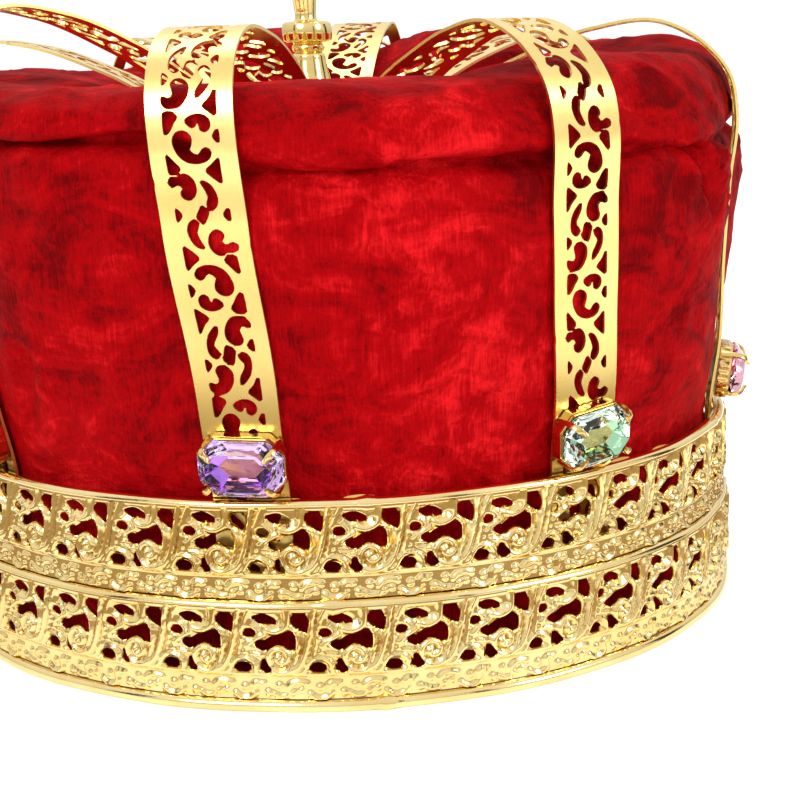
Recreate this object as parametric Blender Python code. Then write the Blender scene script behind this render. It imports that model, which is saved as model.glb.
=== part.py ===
# Royal crown: a head band of three wire hoops and two pierced strips, four long
# pierced strips that make eight arches, a hollow velvet cap, a turned finial and
# eight cut stones in pronged settings. Metres, +Z up, the band stands on z = 0,
# the band's axis is the Z axis and the front of the crown faces -Y.

import math

import bmesh
import bpy
import numpy as np

# Head band
hoop_radius = 0.0980            # centre line of the bottom hoop
hoop_draw_in = 0.0016           # how much smaller the top hoop is than the bottom one
wire_radius = 0.00135           # corner radius of the six-sided hoop wire
tier_height = 0.0207            # from hoop to hoop
repeat_count = 40               # filigree repeats round the band
filigree_sheet = 0.0008
pressed_height = 0.0052         # closed pressed border at the foot of each pierced strip
volute_relief = 0.0008          # how far the scrolls between the gaps are raised

# Arches
strip_width = 0.0162
strip_sheet = 0.0008
strip_border = 0.0033           # closed border along each side of a strip
slots_per_arch = 5
slot_bridge = 0.0075            # metal left between two slots
slot_start = 0.0150             # from the top hoop to the first slot, along the strip
bend_merge = 0.0030             # a bend this near a slot's end is made at the slot's end
arch_flare = 0.0083             # how far the arches lean out past the band
arch_crest = 0.1328             # height of a plain arch's highest point
hub_height = 0.1170             # height of the lowest strip where they cross
hub_room = 0.0008               # how far the flat middle runs past the crossing
hub_ramp = 0.0060               # length of the first slope out of the flat middle
hub_ramp_rise = 0.06            # its rise, as a share of the way from hub to crest
arch_lean = 0.03                # sideways lean of all that stands on the band, as a slope

# Velvet cap
cloth_wall = 0.0018
hem_height = 0.0030
seam_height = 0.1100            # height of the crease round the side
roll_height = 0.1245            # height of the puffed roll above the crease
side_puff = 0.0045              # how far the wall swells out between two arches
seam_pinch = 0.0030             # how deep the crease is drawn in
seam_width = 0.0080             # from the crease down to the wall that it is drawn in from
sector_blend = 0.3              # share of the way between arches that two stretches blend over
crown_dip = 0.0012              # room between the cap and the strips at the crossing

# Stones and settings
stone_width = 0.0160
stone_height = 0.0112
stone_corner = 0.0030
stone_crown = 0.0022
stone_pavilion = 0.0026
stone_proud = 0.0004            # how far the girdle stands over the setting's wall
setting_wall = 0.0007
setting_depth = 0.0036
setting_lift = 0.0015           # from the band's top to an upright setting's edge
prong_height = 0.0024
prong_lean = 0.0007             # how far each prong leans in over its stone

# Finial
stem_radius = 0.0015
foot_radius = 0.0062
foot_height = 0.0103
collar_radius = 0.0038
collar_height = 0.0026
ring_radius = 0.0059
ring_height = 0.0050
neck_radius = 0.0028
neck_height = 0.0078
ball_radius = 0.0068
finial_sides = 12

gap = 0.0003                    # clearance between pieces that touch
swing_room = 0.0006             # clearance between the cloth and the strips
side_room = 0.0060              # how far past a strip's edge the cap's top is held down
top_room = 0.0028               # how far below the strips the cap's top hangs there
bend_room = 0.0075              # how far below an arch's crest the roll passes under it

# Places that follow from the sizes above
hoop_flat = wire_radius * math.cos(math.pi / 6)
hoop_levels = [hoop_flat + tier * tier_height for tier in range(3)]
hoop_radii = [hoop_radius - hoop_draw_in * tier / 2 for tier in range(3)]
band_top = hoop_levels[2] + hoop_flat
hoop_inside = (hoop_radii[2] - wire_radius) * math.cos(math.pi / repeat_count)
strip_corner = hoop_inside - gap
strip_radius = math.sqrt(strip_corner ** 2 - (strip_width / 2) ** 2) - strip_sheet / 2
cap_radius = strip_radius - strip_sheet / 2 - swing_room
strip_foot = hoop_levels[1] + hoop_flat
stack_step = strip_sheet + gap
setting_centre = band_top + stone_height / 2 + setting_wall + setting_lift

# The eight arches, clockwise from the front seen from above. The far half of each
# strip is the arch on the other side. angle: degrees from the front towards +X.
# crest: height of the bend as a share of the plain arch's. turn: degrees that the
# stone is turned in its place. colour: which glass.
arch_rows = [
    # name, strip, end, angle, crest, turn, colour
    ("a", 3, 1, -11.8, 1.015, -1.0, "violet"),
    ("b", 2, 1, 31.8, 1.015, 6.0, "green"),
    ("c", 1, 1, 78.8, 1.000, 0.0, "pink"),
    ("h", 4, -1, 127.5, 1.010, -2.0, "orange"),
    ("g", 3, -1, 168.2, 1.045, 1.0, "violet"),
    ("f", 2, -1, 211.8, 1.025, -3.0, "green"),
    ("e", 1, -1, 258.8, 1.020, 2.0, "pink"),
    ("d", 4, 1, 307.5, 1.062, -4.0, "orange"),
]

# The strip's line outside the bend. flare: share of arch_flare. rise: share of the
# way from the band's top to the crest.
outside_rows = [
    # flare, rise
    (0.34, 0.18),
    (0.52, 0.40),
    (0.76, 0.60),
    (1.00, 0.77),
    (0.85, 0.86),
]

# The strip's line from the bend to the crossing. reach: share of the widest radius.
# rise: share of the way from the hub to the crest.
inside_rows = [
    # reach, rise
    (0.935, 0.69),
    (0.835, 1.00),
    (0.680, 0.94),
    (0.490, 0.56),
]

# The cap between two arches, in the order of the arches. seam and roll: shares of
# seam_height and roll_height. puff: share of side_puff.
sector_rows = [
    # seam, roll, puff
    (0.985, 1.00, 0.9),
    (0.985, 1.05, 1.0),
    (1.000, 1.09, 1.3),
    (1.010, 1.12, 1.0),
    (1.000, 1.11, 0.9),
    (1.020, 1.03, 1.0),
    (1.050, 1.01, 0.8),
    (1.045, 1.00, 0.8),
]

# The cap's columns: share of the way from one arch to the next, and how much of the
# puff shows there.
column_rows = [
    # place, puff
    (0.00, 0.00),
    (0.15, 0.15),
    (0.31, 0.70),
    (0.50, 1.00),
    (0.69, 0.70),
    (0.85, 0.15),
]

# The cap's skin from the band up to the crease. rise: share of that way. puff: how
# much of the swell shows there.
wall_rows = [
    # rise, puff
    (0.50, 0.60),
]

# The roll over the crease. reach: share of the widest radius. pinch: share of
# seam_pinch. rise: share of the way from the crease to the roll's top.
roll_rows = [
    # reach, pinch, rise
    (1.000, 0.10, 0.35),
    (0.965, 0.30, 0.80),
    (0.850, 0.00, 1.00),
]

# The top inside the roll. reach: share of the widest radius. drop: share of the way
# from the roll's top down to the middle.
top_rows = [
    # reach, drop
    (0.660, 0.10),
    (0.450, 0.55),
    (0.250, 1.00),
]

# A cut stone from its small base to its table. size: how much of the height is left,
# as a share. depth: share of the pavilion below the girdle, or of the crown above it.
stone_rows = [
    # size, depth
    (0.40, -1.00),
    (1.00, 0.00),
    (0.90, 0.55),
    (0.62, 1.00),
]

# The finial's cone foot. width: share of foot_radius. rise: share of foot_height.
foot_rows = [
    # width, rise
    (1.00, 0.00),
    (0.80, 0.18),
    (0.62, 0.50),
]

colours = {
    "gold": ((0.86, 0.62, 0.20), 1.0, 0.22),
    "satin": ((0.90, 0.70, 0.32), 1.0, 0.34),
    "velvet": ((0.50, 0.008, 0.012), 0.0, 0.80),
    "violet": ((0.42, 0.18, 0.72), 0.0, 0.05),
    "green": ((0.45, 0.72, 0.50), 0.0, 0.05),
    "pink": ((0.85, 0.35, 0.50), 0.0, 0.05),
    "orange": ((0.85, 0.12, 0.03), 0.0, 0.05),
}


def material(name):
    """A Principled material with the colour, metallic and roughness listed for it."""
    found = bpy.data.materials.get(name)
    if found:
        return found
    colour, metallic, roughness = colours[name]
    made = bpy.data.materials.new(name)
    made.use_nodes = True
    shader = made.node_tree.nodes["Principled BSDF"]
    shader.inputs["Base Color"].default_value = (*colour, 1.0)
    shader.inputs["Metallic"].default_value = metallic
    shader.inputs["Roughness"].default_value = roughness
    made.diffuse_color = (*colour, 1.0)
    return made


def add_piece(name, points, faces, finish, smooth_angle=None):
    """One closed object from its points and faces, with every face turned outwards."""
    mesh = bpy.data.meshes.new(name)
    mesh.from_pydata([tuple(point) for point in points], [], faces)
    work = bmesh.new()
    work.from_mesh(mesh)
    bmesh.ops.recalc_face_normals(work, faces=work.faces)
    work.to_mesh(mesh)
    work.free()
    if smooth_angle is not None:
        mesh.shade_smooth()
        mesh.set_sharp_from_angle(angle=math.radians(smooth_angle))
    mesh.materials.append(material(finish))
    piece = bpy.data.objects.new(name, mesh)
    bpy.context.scene.collection.objects.link(piece)
    return piece


def polar(radius, angle, height):
    """The point at a radius and height, at an angle from the front towards +X."""
    return (radius * math.sin(angle), -radius * math.cos(angle), height)


def leaned(radius, angle, height):
    """As polar, with the lean of all that stands on the band."""
    x, y, z = polar(radius, angle, height)
    return (x - arch_lean * max(0.0, z - band_top), y, z)


# Hoops

def build_hoop(name, radius, level):
    """A wire ring with a flat underside: six sides, one segment to a repeat."""
    points = []
    faces = []
    for segment in range(repeat_count):
        angle = 2 * math.pi * segment / repeat_count
        for side in range(6):
            turn = math.pi * side / 3
            points.append(polar(radius + wire_radius * math.cos(turn), angle,
                                level + wire_radius * math.sin(turn)))
    for segment in range(repeat_count):
        following = (segment + 1) % repeat_count
        for side in range(6):
            across = (side + 1) % 6
            faces.append((segment * 6 + side, following * 6 + side,
                          following * 6 + across, segment * 6 + across))
    return add_piece(name, points, faces, "gold", 40)


# Pierced strips of the band

def filigree_rows(lower, upper):
    """Heights in one tier: foot, top of the pressed border, and top."""
    foot = hoop_levels[lower] + hoop_flat + gap
    top = hoop_levels[upper] - hoop_flat - gap
    return foot, foot + pressed_height, top


# One gap of the filigree inside its cell: across is a share of the pitch and up is
# a share of the pierced height. It leans as the scrolls do.
gap_outline = [
    # across, up
    (0.20, 0.30),
    (0.50, 0.14),
    (0.76, 0.28),
    (0.84, 0.66),
    (0.54, 0.86),
    (0.26, 0.74),
]


def build_filigree(name, lower):
    """A round sheet wall with a closed pressed border and one gap to each repeat."""
    foot, border, top = filigree_rows(lower, lower + 1)
    pitch = 2 * math.pi / repeat_count
    middle = (hoop_radii[lower] + hoop_radii[lower + 1]) / 2
    outer = middle + filigree_sheet / 2
    inner = middle - filigree_sheet / 2
    points = []
    faces = []
    table = {}

    def point(key, radius, angle, height):
        if key not in table:
            table[key] = len(points)
            points.append(polar(radius, angle, height))
        return table[key]

    def corner(surface, repeat, place):
        """A point of the cell's frame; places run round the cell."""
        radius = outer if surface else inner
        start = pitch * repeat
        following = (repeat + 1) % repeat_count
        if place == "foot_left":
            return point((surface, repeat, "foot"), radius, start, foot)
        if place == "foot_right":
            return point((surface, following, "foot"), radius, start + pitch, foot)
        if place == "low_left":
            return point((surface, repeat, "low"), radius, start, border)
        if place == "low_middle":
            return point((surface, repeat, "low_mid"), radius, start + pitch / 2, border)
        if place == "low_right":
            return point((surface, following, "low"), radius, start + pitch, border)
        scroll = radius + volute_relief
        half_way = (border + top) / 2
        if place == "side_left":
            return point((surface, repeat, "side"), scroll, start, half_way)
        if place == "side_right":
            return point((surface, following, "side"), scroll, start + pitch, half_way)
        if place == "top_left":
            return point((surface, repeat, "top"), radius, start, top)
        if place == "top_middle":
            return point((surface, repeat, "top_mid"), radius, start + pitch / 2, top)
        return point((surface, following, "top"), radius, start + pitch, top)

    for repeat in range(repeat_count):
        rims = []
        for surface in (0, 1):
            radius = outer if surface else inner
            hole = [point((surface, repeat, "gap", number), radius,
                          pitch * (repeat + across), border + (top - border) * up)
                    for number, (across, up) in enumerate(gap_outline)]
            cell = {place: corner(surface, repeat, place) for place in (
                "foot_left", "foot_right", "low_left", "low_middle", "low_right",
                "side_left", "side_right", "top_left", "top_middle", "top_right")}
            faces += [
                (cell["foot_left"], cell["low_middle"], cell["low_left"]),
                (cell["foot_left"], cell["foot_right"], cell["low_middle"]),
                (cell["foot_right"], cell["low_right"], cell["low_middle"]),
                (cell["low_left"], cell["low_middle"], hole[1], hole[0]),
                (cell["low_middle"], cell["low_right"], hole[2], hole[1]),
                (cell["low_right"], cell["side_right"], hole[2]),
                (cell["side_right"], hole[3], hole[2]),
                (cell["side_right"], cell["top_right"], hole[3]),
                (cell["top_right"], cell["top_middle"], hole[4], hole[3]),
                (cell["top_middle"], cell["top_left"], hole[5], hole[4]),
                (cell["top_left"], cell["side_left"], hole[5]),
                (cell["side_left"], hole[0], hole[5]),
                (cell["side_left"], cell["low_left"], hole[0]),
            ]
            rims.append((hole, cell))
        (hole_in, cell_in), (hole_out, cell_out) = rims
        for number in range(len(gap_outline)):
            after = (number + 1) % len(gap_outline)
            faces.append((hole_in[number], hole_in[after], hole_out[after], hole_out[number]))
        for left, right in (("foot_left", "foot_right"), ("top_left", "top_middle"),
                            ("top_middle", "top_right")):
            faces.append((cell_in[left], cell_in[right], cell_out[right], cell_out[left]))
    return add_piece(name, points, faces, "gold", 35)


# Arches

def hub_radius():
    """How far out the crossing strips still lie on each other, with a little room."""
    angles = sorted(row[3] for row in arch_rows)
    closest = min(after - before for before, after in zip(angles, angles[1:]))
    return strip_width / 2 / math.sin(math.radians(closest) / 2) + hub_room


def arch_line(crest_share, level):
    """The centre line of one arch from its foot to the crossing: radius and height."""
    crest = arch_crest * crest_share
    hub = hub_height + level * stack_step
    widest = strip_radius + arch_flare
    rows = [(strip_radius, strip_foot), (strip_radius, band_top)]
    rows += [(strip_radius + flare * arch_flare, band_top + rise * (crest - band_top))
             for flare, rise in outside_rows]
    rows += [(reach * widest, hub + rise * (crest - hub)) for reach, rise in inside_rows]
    rows += [(hub_radius() + hub_ramp, hub + hub_ramp_rise * (crest - hub)),
             (hub_radius(), hub), (0.0, hub)]
    return np.array(rows)


def line_lengths(line):
    """Distance along the line from its first point to each of its points."""
    steps = np.linalg.norm(np.diff(line, axis=0), axis=1)
    return np.concatenate([[0.0], np.cumsum(steps)])


def arch_slots(line):
    """Start and end of each slot of one arch, as distances along its line."""
    length = line_lengths(line)[-1]
    first = line_lengths(line)[1] + slot_start
    last = length - hub_radius() + slot_bridge
    slot = (last - first + slot_bridge) / slots_per_arch - slot_bridge
    return [(first + number * (slot + slot_bridge), first + number * (slot + slot_bridge) + slot)
            for number in range(slots_per_arch)]


def build_strip(name, number):
    """Two arches in one pierced strip, with a slot for the finial's stem at its middle."""
    level = number - 1
    near = next(row for row in arch_rows if row[1] == number and row[2] == 1)
    far = next(row for row in arch_rows if row[1] == number and row[2] == -1)
    angle = math.radians(near[3])
    stem_slot = stem_radius + gap
    stations = []                # radius towards the near arch, height, pierced from there on
    for row, side in ((near, 1), (far, -1)):
        line = arch_line(row[4], level)
        lengths = line_lengths(line)
        slots = arch_slots(line)
        ends = np.array([end for slot in slots for end in slot])
        bends = [mark for mark in lengths[:-1] if np.abs(ends - mark).min() > bend_merge]
        marks = sorted(bends + list(ends) + [lengths[-1] - stem_slot])
        half = []
        for mark in marks:
            radius = np.interp(mark, lengths, line[:, 0])
            height = np.interp(mark, lengths, line[:, 1])
            open_here = any(start <= mark < end - 1e-9 for start, end in slots)
            half.append((side * radius, height, open_here))
        if side == 1:
            stations = half
            stations[-1] = (stations[-1][0], stations[-1][1], True)
        else:
            half.reverse()
            shifted = []
            for place, (radius, height, _) in enumerate(half):
                open_here = half[place + 1][2] if place + 1 < len(half) else False
                shifted.append((radius, height, open_here))
            stations += shifted

    line = np.array([(radius, height) for radius, height, _ in stations])
    along = np.gradient(line, axis=0)
    along /= np.linalg.norm(along, axis=1)[:, None]
    out = np.stack([along[:, 1], -along[:, 0]], axis=1)
    out[np.abs(line[:, 0]) <= hub_radius()] = (0.0, 1.0)
    middle = strip_width / 2 - strip_border
    across = (-strip_width / 2, -middle, middle, strip_width / 2)
    points = []
    for (radius, height), (out_r, out_z) in zip(line, out):
        for face in (-strip_sheet / 2, strip_sheet / 2):
            for offset in across:
                x, y, z = leaned(radius + out_r * face, angle, height + out_z * face)
                points.append((x + offset * math.cos(angle), y + offset * math.sin(angle), z))

    def at(station, face, column):
        return station * 8 + face * 4 + column

    faces = []
    count = len(stations)
    pierced = [stations[place][2] for place in range(count - 1)]
    for place in range(count - 1):
        for column in range(3):
            if column == 1 and pierced[place]:
                continue
            for face in (0, 1):
                faces.append((at(place, face, column), at(place, face, column + 1),
                              at(place + 1, face, column + 1), at(place + 1, face, column)))
        edges = [0, 3] + ([1, 2] if pierced[place] else [])
        for column in edges:
            faces.append((at(place, 0, column), at(place + 1, 0, column),
                          at(place + 1, 1, column), at(place, 1, column)))
        if place and pierced[place] != pierced[place - 1]:
            faces.append((at(place, 0, 1), at(place, 0, 2), at(place, 1, 2), at(place, 1, 1)))
    for place in (0, count - 1):
        for column in range(3):
            faces.append((at(place, 0, column), at(place, 0, column + 1),
                          at(place, 1, column + 1), at(place, 1, column)))
    return add_piece(name, points, faces, "satin", 30)


# Velvet cap

def under_strip(line, height):
    """Radius of the cap's skin under an arch's rising part at one height."""
    rising = line[:int(np.argmax(line[:, 0])) + 1]
    return np.interp(height, rising[:, 1], rising[:, 0]) - strip_sheet / 2 - swing_room


def under_arch_top(line, radius):
    """Height of the cap's skin under an arch's inner part at one radius."""
    inner = line[int(np.argmax(line[:, 1])):][::-1]
    return np.interp(radius, inner[:, 0], inner[:, 1]) - strip_sheet / 2 - top_room


def cap_column(arch, span, place, puff):
    """Radii and heights of the cap's skin, from the hem to near the middle."""
    following = (arch + 1) % len(arch_rows)
    before = (arch - 1) % len(arch_rows)
    here = np.array(sector_rows[arch])
    other = np.array(sector_rows[before] if place < 0.5 else sector_rows[following])
    mix = min(1.0, 0.5 + min(place, 1 - place) / sector_blend)
    seam_share, roll_share, puff_share = here * mix + other * (1 - mix)
    seam = seam_height * seam_share
    roll = roll_height * roll_share
    swell = side_puff * puff_share * puff
    crest_share = arch_rows[arch if place < 0.5 else following][4]
    near = arch_line(crest_share, 0)
    if puff < 0.5:
        roll = min(roll, arch_crest * crest_share - bend_room)
    widest = under_strip(near, seam) + swell
    dip = hub_height - strip_sheet / 2 - crown_dip
    rows = [(cap_radius, hem_height), (cap_radius, band_top)]
    for rise, share in wall_rows:
        height = band_top + rise * (seam - band_top)
        rows.append((under_strip(near, height) + swell * share, height))
    below = seam - seam_width
    rows += [(under_strip(near, below) + swell, below), (widest - seam_pinch, seam)]
    rows += [(widest * reach - seam_pinch * pinch, seam + rise * (roll - seam))
             for reach, pinch, rise in roll_rows]
    first_top = len(rows) - 1
    rows += [(widest * reach, roll - drop * (roll - dip)) for reach, drop in top_rows]
    limited = []
    for number, (radius, height) in enumerate(rows):
        for neighbour, offset in ((arch, span * place), (following, span * (1 - place))):
            aside = radius * math.sin(math.radians(offset))
            if number >= first_top and aside < strip_width / 2 + side_room:
                line = arch_line(arch_rows[neighbour][4], 0)
                beneath = under_arch_top(line, radius * math.cos(math.radians(offset)))
                height = min(height, beneath)
        limited.append((radius, height))
    return limited


def build_cap(name):
    """A hollow shell: columns under and between the arches, rows from hem to middle."""
    columns = []
    for arch, row in enumerate(arch_rows):
        following = arch_rows[(arch + 1) % len(arch_rows)]
        span = (following[3] - row[3]) % 360
        for place, puff in column_rows:
            angle = math.radians(row[3] + span * place)
            columns.append((angle, np.array(cap_column(arch, span, place, puff))))
    rows = len(columns[0][1])
    count = len(columns)
    points = []
    for inner in (0, 1):
        for angle, skin in columns:
            along = np.gradient(skin, axis=0)
            along /= np.linalg.norm(along, axis=1)[:, None]
            inward = np.stack([-along[:, 1], along[:, 0]], axis=1)
            inward[0] = (-1.0, 0.0)
            inward[-1] = (0.0, -1.0)
            shell = skin + inward * cloth_wall * inner
            points += [leaned(radius, angle, height) for radius, height in shell]
    dip = hub_height - strip_sheet / 2 - crown_dip
    for inner in (0, 1):
        points.append(leaned(0.0, 0.0, dip - inner * cloth_wall))
    faces = []
    for inner in (0, 1):
        base = inner * count * rows
        for column in range(count):
            after = (column + 1) % count
            for row in range(rows - 1):
                faces.append((base + column * rows + row, base + after * rows + row,
                              base + after * rows + row + 1, base + column * rows + row + 1))
            faces.append((base + column * rows + rows - 1, base + after * rows + rows - 1,
                          2 * count * rows + inner))
    for column in range(count):
        after = (column + 1) % count
        faces.append((column * rows, after * rows, (count + after) * rows, (count + column) * rows))
    return add_piece(name, points, faces, "velvet", 80)


# Stones and their settings

def cut_corner_outline(width, height, corner):
    """Eight points of a rectangle with its corners cut off."""
    half_w = width / 2
    half_h = height / 2
    return [(half_w, -half_h + corner), (half_w, half_h - corner),
            (half_w - corner, half_h), (-half_w + corner, half_h),
            (-half_w, half_h - corner), (-half_w, -half_h + corner),
            (-half_w + corner, -half_h), (half_w - corner, -half_h)]


def stone_frame(row):
    """Where a stone sits: its place on the strip, and its across, up and out directions."""
    _, number, _, degrees, crest, turn, _ = row
    line = arch_line(crest, number - 1)
    rising = line[:int(np.argmax(line[:, 0])) + 1]
    radius = np.interp(setting_centre, rising[:, 1], rising[:, 0])
    above = setting_centre + stone_height / 4
    ahead = np.interp(above, rising[:, 1], rising[:, 0])
    slope = math.atan2(ahead - radius, above - setting_centre)
    angle = math.radians(degrees)
    across = np.array([math.cos(angle), math.sin(angle), 0.0])
    radial = np.array([math.sin(angle), -math.cos(angle), 0.0])
    rise = np.array([0.0, 0.0, 1.0])
    up = rise * math.cos(slope) + radial * math.sin(slope)
    up[0] -= arch_lean * up[2]
    up -= across * np.dot(up, across)
    up /= np.linalg.norm(up)
    out = np.cross(across, up)
    spin = math.radians(turn)
    turned = across * math.cos(spin) + up * math.sin(spin)
    raised = up * math.cos(spin) - across * math.sin(spin)
    place = np.array(leaned(radius, angle, setting_centre))
    return place, turned, raised, out


def on_strip(frame, x, y, depth):
    """The world point at x across, y up and depth out from the strip's outer face."""
    place, across, up, out = frame
    return place + across * x + up * y + out * (strip_sheet / 2 + depth)


def build_setting(row):
    """A cup with eight sides and a floor, and a prong at each cut corner."""
    frame = stone_frame(row)
    seat = setting_depth
    outer = cut_corner_outline(stone_width + 2 * (gap + setting_wall),
                               stone_height + 2 * (gap + setting_wall), stone_corner)
    inner = cut_corner_outline(stone_width + 2 * gap, stone_height + 2 * gap, stone_corner)
    floor = gap + setting_wall
    rings = [(outer, gap), (outer, seat), (inner, seat), (inner, floor)]
    points = [on_strip(frame, x, y, depth) for outline, depth in rings for x, y in outline]
    faces = [tuple(range(8)), tuple(range(24, 32))]
    corners = (1, 3, 5, 7)
    for ring in range(3):
        for side in range(8):
            after = (side + 1) % 8
            if ring == 1 and side in corners:
                continue
            faces.append((ring * 8 + side, ring * 8 + after,
                          (ring + 1) * 8 + after, (ring + 1) * 8 + side))
    for side in corners:
        after = (side + 1) % 8
        base = [8 + side, 8 + after, 16 + after, 16 + side]
        middle_x = (outer[side][0] + outer[after][0]) / 2
        middle_y = (outer[side][1] + outer[after][1]) / 2
        reach = math.hypot(middle_x, middle_y)
        tip = []
        for outline, end in ((outer, side), (outer, after), (inner, after), (inner, side)):
            x, y = outline[end]
            tip.append(len(points))
            points.append(on_strip(frame, x - prong_lean * middle_x / reach,
                                   y - prong_lean * middle_y / reach, seat + prong_height))
        for edge in range(4):
            following = (edge + 1) % 4
            faces.append((base[edge], base[following], tip[following], tip[edge]))
        faces.append(tuple(tip))
    return add_piece("setting_" + row[0], points, faces, "gold", 30)


def build_stone(row):
    """A cut stone: table, two steps of crown facets, a pavilion and a small base."""
    frame = stone_frame(row)
    girdle = setting_depth + stone_proud
    points = []
    for size, depth in stone_rows:
        inset = (1 - size) * stone_height
        outline = cut_corner_outline(stone_width - inset, stone_height - inset,
                                     stone_corner * (1 + size) / 2)
        height = girdle + depth * (stone_crown if depth > 0 else stone_pavilion)
        points += [on_strip(frame, x, y, height) for x, y in outline]
    faces = [tuple(range(8)), tuple(range(24, 32))]
    for ring in range(3):
        for side in range(8):
            after = (side + 1) % 8
            faces.append((ring * 8 + side, ring * 8 + after,
                          (ring + 1) * 8 + after, (ring + 1) * 8 + side))
    return add_piece("stone_" + row[0], points, faces, row[6])


# Finial

def build_finial(name):
    """A turned piece: a stem through the strips, a cone foot, a collar, a ring, a neck
    and a ball."""
    top_level = hub_height + 3 * stack_step + strip_sheet / 2
    foot = top_level + gap
    stem = hub_height - strip_sheet / 2 - crown_dip * 0.5
    cone = foot + foot_height
    collar = cone + collar_height
    ring = collar + ring_height
    neck = ring + neck_height
    profile = [(stem_radius, stem), (stem_radius, foot)]
    profile += [(foot_radius * width, foot + foot_height * rise) for width, rise in foot_rows]
    profile += [(collar_radius - gap, cone), (collar_radius, cone + gap * 2), (collar_radius, collar)]
    for step in range(4):
        turn = math.pi * (step + 0.5) / 4
        profile.append((ring_radius - ring_height / 2 * (1 - math.sin(turn)),
                        collar + ring_height / 2 * (1 - math.cos(turn))))
    profile += [(neck_radius, ring), (neck_radius, neck)]
    join = math.asin(neck_radius / ball_radius)
    centre = neck + ball_radius * math.cos(join)
    for step in range(1, 6):
        turn = join + (math.pi - join) * step / 6
        profile.append((ball_radius * math.sin(turn), centre - ball_radius * math.cos(turn)))
    points = []
    for radius, height in profile:
        for side in range(finial_sides):
            angle = 2 * math.pi * side / finial_sides
            points.append(leaned_about_hub(radius, angle, height, top_level))
    bottom = len(points)
    points.append(leaned_about_hub(0.0, 0.0, stem, top_level))
    points.append(leaned_about_hub(0.0, 0.0, centre + ball_radius, top_level))
    faces = []
    for row in range(len(profile) - 1):
        for side in range(finial_sides):
            after = (side + 1) % finial_sides
            faces.append((row * finial_sides + side, row * finial_sides + after,
                          (row + 1) * finial_sides + after, (row + 1) * finial_sides + side))
    last = (len(profile) - 1) * finial_sides
    for side in range(finial_sides):
        after = (side + 1) % finial_sides
        faces.append((side, after, bottom))
        faces.append((last + side, last + after, bottom + 1))
    return add_piece(name, points, faces, "gold", 40)


def leaned_about_hub(radius, angle, height, top_level):
    """A point of the finial, which leans as the arches do and stands on their crossing."""
    x, y, z = polar(radius, angle, height)
    return (x - arch_lean * (z - band_top), y, z)


def build_crown():
    for number, level in enumerate(("bottom", "middle", "top")):
        build_hoop("rim_" + level, hoop_radii[number], hoop_levels[number])
    build_filigree("filigree_lower", 0)
    build_filigree("filigree_upper", 1)
    for number in (1, 2, 3, 4):
        build_strip("arch_strip_" + str(number), number)
    build_cap("velvet_cap")
    for row in arch_rows:
        build_setting(row)
        build_stone(row)
    build_finial("finial")


for old in list(bpy.data.objects):
    bpy.data.objects.remove(old, do_unlink=True)
build_crown()
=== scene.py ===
# A royal crown on a pale floor: wire hoops and pressed filigree for the head band,
# pierced arches over a gathered velvet cap, cut stones in pronged cups, a turned finial.
# Metres, +Z up, the band stands on z = 0 round the Z axis, its front faces -Y.
import math

import bpy
import numpy as np
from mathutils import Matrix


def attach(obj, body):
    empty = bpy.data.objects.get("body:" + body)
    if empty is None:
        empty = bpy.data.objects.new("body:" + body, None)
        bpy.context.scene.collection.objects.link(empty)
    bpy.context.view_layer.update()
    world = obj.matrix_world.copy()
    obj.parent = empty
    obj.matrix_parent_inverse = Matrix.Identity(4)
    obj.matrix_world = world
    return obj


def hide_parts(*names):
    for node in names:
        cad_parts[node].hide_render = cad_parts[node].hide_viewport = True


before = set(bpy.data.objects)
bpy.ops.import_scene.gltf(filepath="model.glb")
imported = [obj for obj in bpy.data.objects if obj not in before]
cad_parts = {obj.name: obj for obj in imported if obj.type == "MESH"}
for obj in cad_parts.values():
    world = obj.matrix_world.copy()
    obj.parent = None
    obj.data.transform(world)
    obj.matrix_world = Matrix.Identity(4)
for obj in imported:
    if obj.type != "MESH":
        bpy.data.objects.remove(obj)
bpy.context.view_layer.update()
print("crown: frame loaded")

# Sizes that several pieces share
crown = {
    "hoopRadius": 0.0980,       # centre line of the bottom hoop
    "hoopDrawIn": 0.0016,       # how much smaller the top hoop is
    "tierHeight": 0.0207,       # from hoop to hoop
    "hoopRoom": 0.00117,        # height of the bottom hoop's centre
    "repeats": 40,              # filigree repeats round the band
    "lean": 0.042,              # sideways lean of what stands on the band
    "stripWidth": 0.0162,
    "stripSheet": 0.0008,
    "stripRadius": 0.09388,     # the arches' feet, inside the hoops
    "archFlare": 0.0083,
    "archCrest": 0.1328,
    "hubHeight": 0.1170,
    "hubRadius": 0.0250,
    "stackStep": 0.0011,        # from strip to strip where they cross
    # an arch's rising part: share of archFlare, share of the way up to its crest
    "rising": [(0.0, 0.0), (0.34, 0.18), (0.52, 0.40), (0.76, 0.60), (1.0, 0.77), (0.85, 0.86)],
    # its part from the crest in: share of its widest radius, share of the way up from the hub
    "falling": [(0.935, 0.69), (0.835, 1.0), (0.68, 0.94), (0.49, 0.56)],
    "hubLead": 0.006,           # where it comes down to the hub, outside hubRadius
    "hubLeadRise": 0.06,        # and how high it still is there
}
hoopLevels = [crown["hoopRoom"] + tier * crown["tierHeight"] for tier in range(3)]
hoopRadii = [crown["hoopRadius"] - crown["hoopDrawIn"] * tier / 2 for tier in range(3)]
bandTop = hoopLevels[2] + crown["hoopRoom"]

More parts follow.
